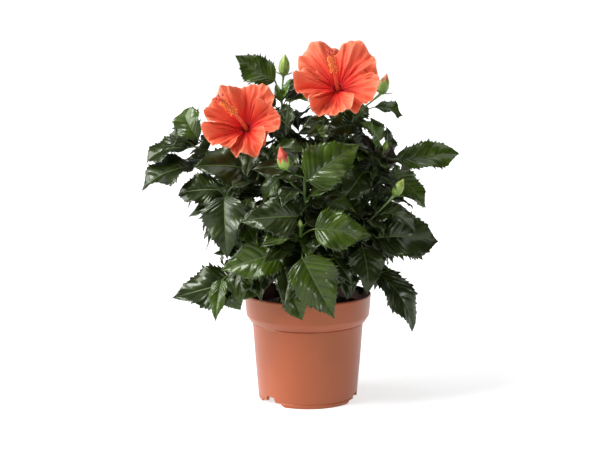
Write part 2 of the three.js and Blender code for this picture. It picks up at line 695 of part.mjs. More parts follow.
// A spindle or bell round an axis from a profile of heights and radii
function belled(foot, axis, across, over, profile, sides) {
  return loft(profile.map(([h, r]) => ringRound(foot.clone().addScaledVector(axis, h), across, over, r, sides)));
}

// A bud on its own stalk from the stem's tip, pointed, and standing in a star of bracts
function budSolid(stem, bud) {
  const root = stem.curve.v2;
  const foot = root.clone().add(new THREE.Vector3(...bud.stalk[1]));
  const bend = root.clone().add(new THREE.Vector3(...bud.stalk[0]));
  const axis = new THREE.Vector3(...bud.lean).normalize();
  const across = square(FRONT, axis);
  const over = new THREE.Vector3().crossVectors(axis, across);
  const inside = foot.clone().addScaledVector(axis, 1.5);
  const profile = BUD_PROFILE.map(([h, r]) => [h * bud.long, r * bud.long]);
  return wasm.Manifold.union([
    tube(new THREE.QuadraticBezierCurve3(root, bend, inside), () => 1, 3, 2),
    belled(foot, axis, across, over, profile, 6),
    ...bractSolids(inside, axis, across, over, 6, bud.long * 0.42, bud.long * 0.28),
  ]);
}

// A point of a petal: u runs from the throat to the rim and v across it. One edge of each petal lies over its
// neighbour's, its rim bends back, and it is ruffled and tilted a little by its own draw.
function petalPoint(bloom, index, u, v) {
  const draw = seeded(bloom.seed * 100 + index);
  const [tilt, phase] = [draw() - 0.5, 2 * Math.PI * draw()];
  const spread = PETAL.rootSpread + (PETAL.spread - PETAL.rootSpread) * Math.sqrt(u);
  const angle = radians(bloom.spin + (360 / PETAL.count) * index + spread * v);
  const reach = bloom.radius * bloom.reach[index] * (1 - PETAL.round * Math.abs(v) ** 3);
  const radius = PETAL.throatRadius + (reach - PETAL.throatRadius) * u;
  let height = PETAL.rise * u ** 0.8 - PETAL.recurve * u ** 4;
  height += PETAL.overlap * v * u + 2 * PETAL.tilt * tilt * u * u;
  height += PETAL.ruffle * u * u * Math.sin(2.5 * Math.PI * v + phase);
  return bloom.throat
    .clone()
    .addScaledVector(bloom.right, radius * Math.cos(angle))
    .addScaledVector(bloom.over, radius * Math.sin(angle))
    .addScaledVector(bloom.axis, height);
}

// A thin closed plate on a grid of points, as thick as asked along one direction
function plate(grid, direction, thick) {
  const [rows, columns] = [grid.length, grid[0].length];
  const under = grid.map((row) => row.map((p) => p.clone().addScaledVector(direction, -thick)));
  const points = [...grid.flat(), ...under.flat()];
  const at = (i, j, side) => side * rows * columns + i * columns + j;
  const faces = [];
  const quad = (a, b, c, d) => faces.push(a, b, c, a, c, d);
  for (let i = 0; i + 1 < rows; i++) {
    for (let j = 0; j + 1 < columns; j++) {
      quad(at(i, j, 0), at(i + 1, j, 0), at(i + 1, j + 1, 0), at(i, j + 1, 0));
      quad(at(i, j, 1), at(i, j + 1, 1), at(i + 1, j + 1, 1), at(i + 1, j, 1));
    }
    quad(at(i, 0, 0), at(i, 0, 1), at(i + 1, 0, 1), at(i + 1, 0, 0));
    quad(at(i, columns - 1, 0), at(i + 1, columns - 1, 0), at(i + 1, columns - 1, 1), at(i, columns - 1, 1));
  }
  for (let j = 0; j + 1 < columns; j++) {
    quad(at(0, j, 0), at(0, j + 1, 0), at(0, j + 1, 1), at(0, j, 1));
    quad(at(rows - 1, j, 0), at(rows - 1, j, 1), at(rows - 1, j + 1, 1), at(rows - 1, j + 1, 0));
  }
  return solid(new THREE.BufferGeometry().setFromPoints(points).setIndex(faces));
}

// The column that stands out of the throat, with its stamens and the five stigmas at its tip
function columnSolids(bloom) {
  const foot = bloom.throat.clone().addScaledVector(bloom.axis, -3);
  const bend = foot.clone().addScaledVector(bloom.axis, COLUMN.long * 0.6);
  const tip = foot.clone().addScaledVector(bloom.axis, COLUMN.long);
  tip.addScaledVector(bloom.right, bloom.bend[0]).addScaledVector(bloom.over, bloom.bend[1]);
  const curve = new THREE.QuadraticBezierCurve3(foot, bend, tip);
  const bodies = [tube(curve, (t) => COLUMN.radius + (COLUMN.tipRadius - COLUMN.radius) * t, 5, 3)];
  for (let i = 0; i < COLUMN.stamens; i++) {
    const t = COLUMN.stamenFrom + ((COLUMN.stamenTo - COLUMN.stamenFrom) * i) / COLUMN.stamens;
    const along = curve.getTangentAt(t);
    const out = square(bloom.right, along).applyAxisAngle(along, radians(DIVERGENCE * i));
    const from = curve.getPointAt(t);
    const head = from.clone().addScaledVector(out, COLUMN.stamenLong).addScaledVector(along, COLUMN.stamenLift);
    bodies.push(spike(head, from, 1));
  }
  for (let i = 0; i < COLUMN.stigmas; i++) {
    const along = curve.getTangentAt(1);
    const out = square(bloom.right, along).applyAxisAngle(along, radians((360 / COLUMN.stigmas) * i));
    const from = curve.getPointAt(1).addScaledVector(along, -1);
    const head = from.clone().addScaledVector(out, COLUMN.stigmaLong).addScaledVector(along, COLUMN.stigmaLift);
    bodies.push(spike(head, from, 1.2));
  }
  return bodies;
}

// A bloom on its own stalk, which leaves the stem with a clearance and enters the calyx
function makeBloom(bloom) {
  const stem = stems.get(bloom.on);
  const root = stem.curve.getPoint(bloom.at);
  const foot = bloom.throat.clone().addScaledVector(bloom.axis, -CALYX.long);
  const bend = foot.clone().addScaledVector(bloom.axis, -root.distanceTo(foot) * 0.45);
  const inside = foot.clone().addScaledVector(bloom.axis, 2);
  const stalk = tube(new THREE.QuadraticBezierCurve3(root, bend, inside), (t) => 1.3 + 0.3 * t, 5, 4);
  const profile = CALYX.profile.map(([h, r]) => [h * (CALYX.long - CALYX.sunk), r]);
  const petals = Array.from({ length: PETAL.count }, (_, index) => {
    const grid = [0, 0.4, 0.75, 1].map((u) => [-1, -0.35, 0.35, 1].map((v) => petalPoint(bloom, index, u, v)));
    return plate(grid, bloom.axis, PETAL.thick);
  });
  return wasm.Manifold.union([
    largest(stalk.subtract(around(stem, CLEARANCE))),
    belled(foot, bloom.axis, bloom.right, bloom.over, profile, 8),
    ...bractSolids(inside, bloom.axis, bloom.right, bloom.over, CALYX.bracts, CALYX.bractLong, 3),
    ...petals,
    ...columnSolids(bloom),
  ]);
}

// The pot, the compost and the wood
const [pot, compost, trunk] = [makePot(), makeCompost(), makeTrunk()];
addNode("pot", pot, FINISHES.pot);
addNode("compost", compost, FINISHES.compost);
addNode("trunk", trunk, FINISHES.bark);
take(pot, "pot");
take(compost, "compost");
take(trunk, "trunk");
for (const shoot of SHOOTS) growLimb(shoot);
for (const shoot of SHOOTS) {
  const stem = stems.get(shoot.name);
  const buds = (shoot.buds || []).map((bud) => budSolid(stem, bud));
  addNode("bough_" + shoot.name, makeBough(shoot.name), FINISHES.bough);
  take(around(boughs.get(shoot.name), CLEARANCE), "bough_" + shoot.name);
  take(tubeOf(stem, CLEARANCE), "stem_" + shoot.name);
  for (const bud of buds) take(bud, "bud_" + shoot.name);
  shoot.grown = [tubeOf(stem), ...buds];
}

// The blooms, which every leaf keeps clear of
for (const bloom of BLOOMS) {
  bloom.throat = new THREE.Vector3(...bloom.throat);
  bloom.axis = new THREE.Vector3(...bloom.faces).normalize();
  bloom.over = square(UP, bloom.axis);
  bloom.right = new THREE.Vector3().crossVectors(bloom.over, bloom.axis);
  const body = makeBloom(bloom);
  addNode(bloom.name, body, FINISHES.petal);
  take(body, bloom.name);
}

// The leaves that are shown come first, and then the rule's leaves wherever there is room
for (const shoot of SHOOTS) growLeaf(shoot, (shoot.shown || []).length, shownLeaf, true);
for (const shoot of SHOOTS) growLeaf(shoot, shoot.leaves, seededLeaf, false);
for (const shoot of SHOOTS) addNode("leaves_" + shoot.name, wasm.Manifold.union(shoot.grown), FINISHES.leaf);

export default shrub;
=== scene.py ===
# %% [markdown]
# # A potted hibiscus shrub
# The real thing is a young shrub in a 13 cm nursery pot: a short trunk, boughs that fork from it,
# green shoots full of glossy toothed leaves, two open coral blooms and a few buds. The CAD part
# already holds its true sizes, so it is loaded first and every piece here is grown onto it.

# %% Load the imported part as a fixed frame
import math

import bpy
import numpy as np
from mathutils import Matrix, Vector, noise
from mathutils.bvhtree import BVHTree
from mathutils.kdtree import KDTree


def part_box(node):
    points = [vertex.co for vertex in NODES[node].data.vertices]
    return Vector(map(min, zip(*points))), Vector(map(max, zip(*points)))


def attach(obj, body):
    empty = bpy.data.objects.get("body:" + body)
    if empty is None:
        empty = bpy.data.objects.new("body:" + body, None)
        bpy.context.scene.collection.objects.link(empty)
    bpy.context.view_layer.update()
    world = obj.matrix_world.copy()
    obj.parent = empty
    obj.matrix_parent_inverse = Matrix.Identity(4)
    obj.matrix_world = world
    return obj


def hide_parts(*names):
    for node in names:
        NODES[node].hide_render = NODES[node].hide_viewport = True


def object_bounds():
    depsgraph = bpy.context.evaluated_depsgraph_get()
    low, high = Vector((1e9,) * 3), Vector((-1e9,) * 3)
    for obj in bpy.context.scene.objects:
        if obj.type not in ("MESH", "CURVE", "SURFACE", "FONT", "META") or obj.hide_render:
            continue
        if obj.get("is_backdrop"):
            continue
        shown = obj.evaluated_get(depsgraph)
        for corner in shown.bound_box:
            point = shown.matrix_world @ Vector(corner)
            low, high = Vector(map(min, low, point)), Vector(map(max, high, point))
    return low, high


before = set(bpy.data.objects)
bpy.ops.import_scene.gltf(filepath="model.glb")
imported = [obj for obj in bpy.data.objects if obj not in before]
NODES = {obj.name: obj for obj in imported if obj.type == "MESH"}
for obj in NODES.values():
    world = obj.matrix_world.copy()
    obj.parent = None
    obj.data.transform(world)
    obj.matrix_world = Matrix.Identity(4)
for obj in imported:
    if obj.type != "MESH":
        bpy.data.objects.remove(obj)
CAD_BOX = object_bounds()
print("CAD nodes:", len(NODES), "box:", [round(x, 4) for corner in CAD_BOX for x in corner])

# %% [markdown]
# ## Small helpers
# The CAD source works in millimetres and Blender in metres, so sizes are written in millimetres
# and turned to metres once, when a mesh is made. Shapes are made as arrays of points and faces,
# which is quick and keeps every size in sight. A repeatable stream of random numbers, the same one
# as the CAD source uses, lets this script grow exactly the leaves that the solids have.

# %% Random numbers, directions and curves
MM = 0.001
WORD = 0xFFFFFFFF


def seeded(seed):
    """A stream of repeatable numbers from 0 to 1, the same as the CAD source draws."""
    state = seed & WORD

    def draw():
        nonlocal state
        state = (state + 0x6D2B79F5) & WORD
        t = ((state ^ (state >> 15)) * (state | 1)) & WORD
        t ^= (t + (t ^ (t >> 7)) * (t | 61)) & WORD
        return ((t ^ (t >> 14)) & WORD) / 2**32

    return draw


def unit(v):
    return v / np.linalg.norm(v)


def square(v, axis):
    """The part of v at right angles to a unit axis, as a unit vector."""
    return unit(v - axis * np.dot(v, axis))


def pointing(bearing, pitch):
    """The unit vector at a bearing (0 is +X, 90 is +Y) and a pitch above the horizon."""
    b, p = math.radians(bearing), math.radians(pitch)
    return np.array([math.cos(p) * math.cos(b), math.cos(p) * math.sin(b), math.sin(p)])


class Bezier:
    """A quadratic curve from a root past a bend to a tip."""

    def __init__(self, root, bend, tip):
        self.root, self.bend, self.tip = (np.array(p, float) for p in (root, bend, tip))

    def at(self, t):
        return self.root * (1 - t) ** 2 + self.bend * 2 * t * (1 - t) + self.tip * t * t

    def along(self, t):
        return unit((self.bend - self.root) * (1 - t) + (self.tip - self.bend) * t)


UP = np.array([0.0, 0.0, 1.0])
FRONT = np.array([0.0, -1.0, 0.0])
print("first draws of seed 5:", [round(d(), 3) for d in [seeded(5)] for _ in range(3)])

# %% Meshes from arrays
class Heap:
    """Gathers the points and faces of many small shapes that end up in one mesh."""

    def __init__(self):
        self.points, self.faces, self.slots, self.count = [], [], [], 0

    def add(self, points, faces, slots):
        """Takes in an array of points, and faces with a material slot for each."""
        self.faces.extend([[i + self.count for i in face] for face in faces])
        self.slots.extend(slots)
        self.points.append(points)
        self.count += len(points)


def piece(name, heap, materials, smooth=True):
    """Makes a heap's shapes, in millimetres, into one object that stands at the origin, in metres."""
    mesh = bpy.data.meshes.new(name)
    mesh.from_pydata((np.concatenate(heap.points) * MM).tolist(), [], heap.faces)
    for material in materials:
        mesh.materials.append(material)
    mesh.polygons.foreach_set("material_index", np.array(heap.slots, np.int32))
    mesh.polygons.foreach_set("use_smooth", [smooth] * len(mesh.polygons))
    mesh.validate()
    obj = bpy.data.objects.new(name, mesh)
    bpy.context.scene.collection.objects.link(obj)
    return obj


def hand_in(obj, slot, *nodes):
    """Lets a finished piece ride on the part's one body, and stand for CAD nodes."""
    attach(obj, "root")
    if nodes:
        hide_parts(*nodes)
    triangles = sum(len(p.vertices) - 2 for p in obj.data.polygons)
    print(obj.name, triangles, "triangles")


print("points in an empty heap:", Heap().count)

# %% Grids and tubes
def grid_faces(rows, columns, wrap=False):
    """The quads of a grid of points, row after row. wrap joins its last column to its first."""
    across = columns if wrap else columns - 1
    r, c = np.meshgrid(np.arange(rows - 1), np.arange(across), indexing="ij")
    a, b = r * columns + c, r * columns + (c + 1) % columns
    return np.stack([a, b, b + columns, a + columns], -1).reshape(-1, 4)


def add_loft(heap, rings, closed=True):
    """Adds a tube through rings of as many points each. Fans close its ends, unless it stays open."""
    rows, sides = len(rings), len(rings[0])
    points = np.concatenate(rings)
    faces = grid_faces(rows, sides, wrap=True).tolist()
    ends = ((rings[0], 0), (rings[-1], (rows - 1) * sides)) if closed else ()
    for ring, first in ends:
        top = len(points)
        points = np.vstack([points, np.mean(ring, axis=0)])
        for i in range(sides):
            a, b = first + i, first + (i + 1) % sides
            faces.append([a, top, b] if first == 0 else [b, top, a])
    heap.add(points, faces, [0] * len(faces))


def axes_round(along):
    """Two unit vectors at right angles to a direction and to each other."""
    across = square(UP if abs(along[2]) < 0.9 else FRONT, along)
    return across, np.cross(along, across)


def circle(radius, height, sides):
    """A level ring of points round the upright axis."""
    turn = np.arange(sides) * 2 * math.pi / sides
    return np.stack([radius * np.cos(turn), radius * np.sin(turn), np.full_like(turn, height)], -1)


print("a tube of 3 rings of 8 points has", len(grid_faces(3, 8, wrap=True)), "faces round it")

# %% [markdown]
# ## Node trees
# Three things here repeat along a path or over a surface: the green stems and leaf stalks, the
# crumbs on the compost, and the pollen heads round a bloom's column. Copying them by hand would
# hide the rule, so each is a Geometry Nodes tree with named inputs. The tree realizes what it
# makes, and the result is turned into a plain mesh.

# %% Helpers for Geometry Nodes
def new_tree(name, inputs):
    """An empty tree with a geometry input and output and named inputs of their own."""
    tree = bpy.data.node_groups.new(name, "GeometryNodeTree")
    tree.interface.new_socket("Geometry", in_out="INPUT", socket_type="NodeSocketGeometry")
    tree.interface.new_socket("Geometry", in_out="OUTPUT", socket_type="NodeSocketGeometry")
    for label, kind, value in inputs:
        socket = tree.interface.new_socket(label, in_out="INPUT", socket_type=kind)
        if value is not None:
            socket.default_value = value
    return tree, tree.nodes.new("NodeGroupInput"), tree.nodes.new("NodeGroupOutput")


def add_node(tree, kind, links=(), **settings):
    """A node with its settings, and links given as (input name or number, source socket or value)."""
    node = tree.nodes.new(kind)
    for key, value in settings.items():
        setattr(node, key, value)
    for key, source in links:
        if isinstance(source, bpy.types.NodeSocket):
            tree.links.new(source, node.inputs[key])
        else:
            node.inputs[key].default_value = source
    return node


def painted(tree, geometry, finish):
    """The geometry with one material on all of it."""
    node = add_node(tree, "GeometryNodeSetMaterial", [("Geometry", geometry), ("Material", finish)])
    return node.outputs["Geometry"]


def run_tree(source, tree, name, **values):
    """Runs a tree on an object and keeps the result as a plain mesh object. The source is removed."""
    modifier = source.modifiers.new(name, "NODES")
    modifier.node_group = tree
    for item in tree.interface.items_tree:
        if item.in_out == "INPUT" and item.name in values:
            modifier[item.identifier] = values[item.name]
    source.update_tag()
    seen = source.evaluated_get(bpy.context.evaluated_depsgraph_get())
    mesh = bpy.data.meshes.new_from_object(seen)
    mesh.name = name
    obj = bpy.data.objects.new(name, mesh)
    bpy.context.scene.collection.objects.link(obj)
    bpy.data.objects.remove(source)
    return obj


print("node groups so far:", len(bpy.data.node_groups))

# %% A tree that turns lines with a thickness into round stalks
def stalk_tree():
    """Each line becomes a round tube, as thick as the thickness stored on its points says."""
    tree, ins, outs = new_tree(
        "stalks_along_lines",
        [("Sides", "NodeSocketInt", 6), ("Finish", "NodeSocketMaterial", None)],
    )
    thickness = add_node(
        tree, "GeometryNodeInputNamedAttribute", [("Name", "thickness")], data_type="FLOAT"
    )
    line = add_node(tree, "GeometryNodeMeshToCurve", [("Mesh", ins.outputs["Geometry"])])
    wide = add_node(
        tree, "GeometryNodeSetCurveRadius",
        [("Curve", line.outputs["Curve"]), ("Radius", thickness.outputs["Attribute"])],
    )
    ring = add_node(
        tree, "GeometryNodeCurvePrimitiveCircle", [("Resolution", ins.outputs["Sides"]), ("Radius", 1.0)]
    )
    tube = add_node(
        tree, "GeometryNodeCurveToMesh",
        [("Curve", wide.outputs["Curve"]), ("Profile Curve", ring.outputs["Curve"]), ("Fill Caps", True)],
    )
    if "Scale" in tube.inputs:
        radius = add_node(tree, "GeometryNodeInputRadius")
        tree.links.new(radius.outputs["Radius"], tube.inputs["Scale"])
    soft = add_node(tree, "GeometryNodeSetShadeSmooth", [("Geometry", tube.outputs["Mesh"])])
    tree.links.new(painted(tree, soft.outputs[0], ins.outputs["Finish"]), outs.inputs["Geometry"])
    return tree


STALKS = stalk_tree()


def line_along(curve, radii, end=1.0):
    """A line for the stalk tree: points evenly along a curve, one for each radius."""
    return [curve.at(t) for t in np.linspace(0, end, len(radii))], radii


def stalks(name, lines, finish, sides=6):
    """Round stalks along lines, each a list of points and a list of radii in millimetres."""
    points, edges, radii = [], [], []
    for spots, widths in lines:
        first = len(points)
        points.extend(np.asarray(spots) * MM)
        radii.extend(np.asarray(widths) * MM)
        edges.extend((first + i, first + i + 1) for i in range(len(spots) - 1))
    mesh = bpy.data.meshes.new(name + "_lines")
    mesh.from_pydata([tuple(p) for p in points], edges, [])
    mesh.attributes.new("thickness", "FLOAT", "POINT").data.foreach_set("value", radii)
    source = bpy.data.objects.new(name + "_lines", mesh)
    bpy.context.scene.collection.objects.link(source)
    return run_tree(source, STALKS, name, Sides=sides, Finish=finish)


print("stalk tree nodes:", len(STALKS.nodes))

# %% [markdown]
# ## Finishes
# Colours are linear, as Blender's shader sockets expect, so a helper turns the usual screen colours
# into them. Each finish starts from one Principled shader. Noise on Object coordinates breaks up
# its colour and gives its surface a fine grain, because the pieces never move away from the origin.

# %% Helpers for materials
def linear(hexcode):
    """A screen colour such as b5603f as linear red, green, blue and alpha."""
    parts = [int(hexcode[i : i + 2], 16) / 255 for i in (0, 2, 4)]
    return [c / 12.92 if c <= 0.04045 else ((c + 0.055) / 1.055) ** 2.4 for c in parts] + [1.0]


def finish_of(name, colour, roughness, **sockets):
    """A material with one Principled shader. Other sockets are given by name, spaces as underscores."""
    material = bpy.data.materials.new(name)
    material.use_nodes = True
    material.diffuse_color = linear(colour)
    shader = material.node_tree.nodes["Principled BSDF"]
    shader.inputs["Base Color"].default_value = linear(colour)
    shader.inputs["Roughness"].default_value = roughness
    for key, value in sockets.items():
        shader.inputs[key.replace("_", " ")].default_value = value
    return material


def place_of(tree):
    return tree.nodes.new("ShaderNodeTexCoord").outputs["Object"]


def ramp_of(tree, factor, stops):
    """A colour ramp from (place, colour) stops."""
    ramp = tree.nodes.new("ShaderNodeValToRGB")
    for _ in stops[2:]:
        ramp.color_ramp.elements.new(0.5)
    for element, (where, colour) in zip(ramp.color_ramp.elements, stops):
        element.position = where
        element.color = linear(colour)
    tree.links.new(factor, ramp.inputs["Fac"])
    return ramp.outputs["Color"]


def mottle(material, stops, scale, detail=3.0):
    """Breaks up a material's colour with noise in space."""
    tree = material.node_tree
    cloud = add_node(
        tree, "ShaderNodeTexNoise", [("Vector", place_of(tree)), ("Scale", scale), ("Detail", detail)]
    )
    shader = tree.nodes["Principled BSDF"]
    tree.links.new(ramp_of(tree, cloud.outputs["Fac"], stops), shader.inputs["Base Color"])
    return material


def grain(material, scale, strength, distance):
    """Gives a material a fine uneven surface."""
    tree = material.node_tree
    cloud = add_node(
        tree, "ShaderNodeTexNoise", [("Vector", place_of(tree)), ("Scale", scale), ("Detail", 4.0)]
    )
    bump = add_node(
        tree, "ShaderNodeBump",
        [("Height", cloud.outputs["Fac"]), ("Strength", strength), ("Distance", distance)],
    )
    tree.links.new(bump.outputs["Normal"], tree.nodes["Principled BSDF"].inputs["Normal"])
    return material


print("mid grey in linear light:", round(linear("808080")[0], 3))

# %% The finishes of the pot, the compost and the wood
POT_FINISH = finish_of("terracotta_plastic", "93442a", 0.38, Specular_IOR_Level=0.56,
                       Specular_Tint=(1.0, 0.9, 0.6, 1.0), Sheen_Weight=0.1, Sheen_Roughness=0.5)
mottle(POT_FINISH, [(0.3, "8d4026"), (0.7, "97482c")], 14.0)
grain(POT_FINISH, 900.0, 0.12, 0.0002)
# A dark brown that paints shade on the pot's inner wall above the shoulder
INNER_SHADE_FINISH = finish_of("inner_wall_painted_shade", "4a2618", 0.7)
mottle(INNER_SHADE_FINISH, [(0.3, "2a160f"), (0.6, "5a3020")], 60.0)
SOIL_FINISH = finish_of("peat_compost", "1c140f", 0.95)
mottle(SOIL_FINISH, [(0.3, "0f0a08"), (0.55, "21170f"), (0.8, "3a2a1c")], 220.0)
grain(SOIL_FINISH, 500.0, 0.8, 0.001)
CRUMB_FINISH = finish_of("peat_crumbs", "2a1d14", 0.9)
mottle(CRUMB_FINISH, [(0.3, "140d09"), (0.6, "33241a"), (0.85, "5a4430")], 90.0)
BARK_FINISH = finish_of("grey_brown_bark", "6b6242", 0.8)
mottle(BARK_FINISH, [(0.3, "4a4230"), (0.6, "6b6242"), (0.8, "8a8060")], 160.0)
grain(BARK_FINISH, 700.0, 0.5, 0.0006)
BOUGH_FINISH = finish_of("young_bark", "4d5a2c", 0.6)
mottle(BOUGH_FINISH, [(0.3, "3c4522"), (0.7, "66703c")], 120.0)
STEM_FINISH = finish_of("green_stem", "4a662a", 0.45)
mottle(STEM_FINISH, [(0.35, "3c5620"), (0.7, "64803c")], 60.0)
print("pot finish nodes:", len(POT_FINISH.node_tree.nodes))

# %% The finishes of the leaves
LEAF_SHEEN = {"Coat_Weight": 0.42, "Coat_Roughness": 0.2, "Specular_IOR_Level": 0.2,
              "Specular_Tint": (0.75, 1.0, 0.5, 1.0), "Coat_Tint": (0.95, 1.0, 0.82, 1.0)}


def leaf_finish(name, low, high, roughness):
    """A glossy green between two colours, with a fine grain."""
    material = finish_of(name, high, roughness, **LEAF_SHEEN)
    mottle(material, [(0.35, low), (0.65, high)], 70.0, 2.0)
    return grain(material, 260.0, 0.45, 0.0006)


LEAF_FINISHES = [
    leaf_finish("leaf_dark", "0f1503", "1c2405", 0.4),
    leaf_finish("leaf_mid", "222f07", "36480c", 0.4),
    leaf_finish("leaf_young", "2e420c", "425c16", 0.42),
    leaf_finish("leaf_wine", "201614", "34221f", 0.4),
    # The side veins are as dark as the dark blade and darker than the mid-green one: painted shade in the
    # sunk veins
    finish_of("leaf_side_vein_painted_shade", "1c2408", 0.42, **LEAF_SHEEN),
    finish_of("leaf_pale_vein", "50692c", 0.45, **LEAF_SHEEN),
    finish_of("leaf_midrib", "3c5018", 0.5),
    grain(finish_of("leaf_underside", "323c1e", 0.6), 900.0, 0.15, 0.0003),
]
DARK, MID, YOUNG, WINE, VEIN, PALE_VEIN, MIDRIB, UNDERSIDE = range(8)
SHADES = {"dark": DARK, "mid": MID, "young": YOUNG, "wine": WINE}
print("leaf finishes:", [m.name for m in LEAF_FINISHES])

# %% [markdown]
# ## Camera, floor and light
# The photograph was taken from a little above the blooms, at about 1.2 m, with a lens that sees a
# narrow angle. Its light comes from high on the left and a little in front, soft but clearly from one
# side: it puts pale patches on the leaves and leaves the inside of the crown dark. Far suns give that
# light, because they light the plain pale floor evenly as well, out to where it meets the white wall.
# The floor is like a light table, whose faint glow keeps the shadows on it as pale as they are there.

# %% Camera
EYE = (-0.0081, -1.2, 0.339)
PITCH_DOWN = 0.132
camera = bpy.data.objects.new("camera", bpy.data.cameras.new("camera"))
camera.location = EYE
camera.rotation_euler = (math.pi / 2 - PITCH_DOWN, 0, 0)
camera.data.sensor_width = 36.0
camera.data.lens = 70.98
bpy.context.scene.collection.objects.link(camera)
bpy.context.scene.camera = camera
print("camera at", EYE, "lens", camera.data.lens)

# %% Floor, world and lights
FLOOR_HALF = 12.0
FLOOR_GLOW = 0.7
floor_mesh = bpy.data.meshes.new("floor")
corners = [(-1, -1), (1, -1), (1, 1), (-1, 1)]
floor_mesh.from_pydata([(x * FLOOR_HALF, y * FLOOR_HALF, 0.0) for x, y in corners], [], [(0, 1, 2, 3)])
floor_mesh.materials.append(finish_of("white_floor", "b0b0b0", 0.8, Emission_Color=(1, 1, 1, 1),
                                     Emission_Strength=FLOOR_GLOW))
floor = bpy.data.objects.new("floor", floor_mesh)
bpy.context.scene.collection.objects.link(floor)
floor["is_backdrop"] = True


def studio_world(low, high, wall):
    """A studio as bright as low up to the height wall, as a sine, that fades to high overhead."""
    world = bpy.data.worlds.new("studio")
    world.use_nodes = True
    tree = world.node_tree
    way = tree.nodes.new("ShaderNodeTexCoord").outputs["Generated"]
    rise = add_node(tree, "ShaderNodeSeparateXYZ", [("Vector", way)]).outputs["Z"]
    fade = add_node(
        tree, "ShaderNodeMapRange",
        [("Value", rise), ("From Min", wall), ("From Max", wall * 2), ("To Min", low), ("To Max", high)],
        interpolation_type="SMOOTHSTEP",
    )
    tree.links.new(fade.outputs["Result"], tree.nodes["Background"].inputs["Strength"])
    tree.nodes["Background"].inputs["Color"].default_value = (1.0, 1.0, 1.0, 1.0)
    return world


bpy.context.scene.world = studio_world(low=1.04, high=0.08, wall=0.065)
bpy.context.scene.view_settings.view_transform = "Standard"


def soft_sun(name, bearing, pitch, strength, angle):
    """A far light from a bearing and a pitch, as wide as an angle, all in degrees."""
    data = bpy.data.lights.new(name, "SUN")
    data.energy = strength
    data.angle = math.radians(angle)
    lamp = bpy.data.objects.new(name, data)
    lamp.rotation_euler = Vector(pointing(bearing, pitch)).to_track_quat("Z", "Y").to_euler()
    bpy.context.scene.collection.objects.link(lamp)


soft_sun("high_left", bearing=-148, pitch=48, strength=3.4, angle=22)
soft_sun("side", bearing=-176, pitch=22, strength=3.8, angle=42)
soft_sun("overhead", bearing=60, pitch=74, strength=1.2, angle=60)
soft_sun("strip", bearing=-62, pitch=6, strength=0.35, angle=8)
print("suns:", [lamp.name for lamp in bpy.data.lights if lamp.type == "SUN"])

# %% [markdown]
# ## The pot
# A thin-walled plastic pot with a deep collar, moulded in one piece. Its wall is one outline turned
# round the axis, so a lathe in a few lines of array code does it, with small fillets where the
# mould has them. Booleans join the hub and ribs under its floor to it, and cut the three drainage
# arches in its foot.

# %% Sizes of the pot and the compost
POT = {
    "rim": 65.0, "collar_foot": 63.4, "body_top": 57.6, "foot": 50.8, "height": 110.0, "collar": 22.0,
    "chamfer": 7.0, "wall": 1.8, "floor_top": 11.0, "floor_bottom": 8.8, "lip": 1.2, "segments": 160,
    "groove": 4.6, "fillet": 0.9,
}
ARCH = {"count": 3, "first": -138, "width": 38.0, "height": 3.4, "taper": 0.36,
        "window_width": 15.0, "window_height": 8.4}
FOOT_RIB = {"hub": 9.0, "width": 5.0}
SHOULDER = POT["height"] - POT["collar"] - POT["chamfer"]
print("pot:", 2 * POT["rim"], "mm across and", POT["height"], "mm high, its shoulder at", SHOULDER, "mm")


def body_radius(z):
    """The outer radius of the pot's body at a height."""
    return POT["foot"] + (POT["body_top"] - POT["foot"]) * z / SHOULDER


def filleted(profile, radius, steps=4):
    """Rounds each inner corner of a line of (radius, height) points."""
    out = [profile[0]]
    for before, corner, after in zip(profile, profile[1:], profile[2:]):
        a, b, c = (np.array(p, float) for p in (before, corner, after))
        cut = min(radius, 0.45 * np.linalg.norm(a - b), 0.45 * np.linalg.norm(c - b))
        start, end = b + unit(a - b) * cut, b + unit(c - b) * cut
        for i in range(steps + 1):
            t = i / steps
            out.append(tuple(start * (1 - t) ** 2 + b * 2 * t * (1 - t) + end * t * t))
    return out + [profile[-1]]


# %% Turn the wall
def turned_wall():
    """The pot's wall and floor, from an outline that runs up the outside and down the inside."""
    rim, lip, wall, top = POT["rim"], POT["lip"], POT["wall"], POT["height"]
    under, groove = POT["floor_bottom"], POT["groove"]
    profile = [
        (0.001, under), (body_radius(under) - 2 * wall, under), (POT["foot"] - 2 * wall, 0.0),
        (POT["foot"] - 0.5, 0.0), (body_radius(1.0), 1.0), (body_radius(groove - 0.7), groove - 0.7),
        (body_radius(groove) - 0.45, groove - 0.35), (body_radius(groove) - 0.45, groove + 0.1),
        (body_radius(groove + 0.5), groove + 0.5), (body_radius(SHOULDER * 0.5), SHOULDER * 0.5),
        (POT["body_top"] - 0.6, SHOULDER - 1.8), (POT["body_top"] - 1.3, SHOULDER - 0.6),
        (POT["body_top"] + 1.5, SHOULDER + 0.1), (POT["collar_foot"], SHOULDER + POT["chamfer"]),
        (rim - 0.15, top - 3.2), (rim, top - 2.6), (rim, top - lip), (rim - lip / 2, top), (rim - wall, top),
        (POT["collar_foot"] - wall, SHOULDER + POT["chamfer"]), (POT["body_top"] - wall, SHOULDER),
        (body_radius(POT["floor_top"]) - wall, POT["floor_top"]), (0.001, POT["floor_top"]),
    ]
    rings = [circle(r, z, POT["segments"]) for r, z in filleted(profile, POT["fillet"])]
    heap = Heap()
    add_loft(heap, rings)
    return piece("pot_body", heap, [POT_FINISH, INNER_SHADE_FINISH])


pot = turned_wall()
print("corners of the pot's wall:", len(pot.data.vertices))

# %% The shapes that are joined to the foot or cut out of it
BEARINGS = [ARCH["first"] + 360 / ARCH["count"] * i for i in range(ARCH["count"])]


def prism(name, outline, out, side, start, end):
    """A bar that points outwards, whose outline has (sideways, height) points."""
    rings = [np.array([out * r + side * x + UP * z for x, z in outline]) for r in (start, end)]
    heap = Heap()
    add_loft(heap, rings)
    return piece(name, heap, [POT_FINISH], smooth=False)


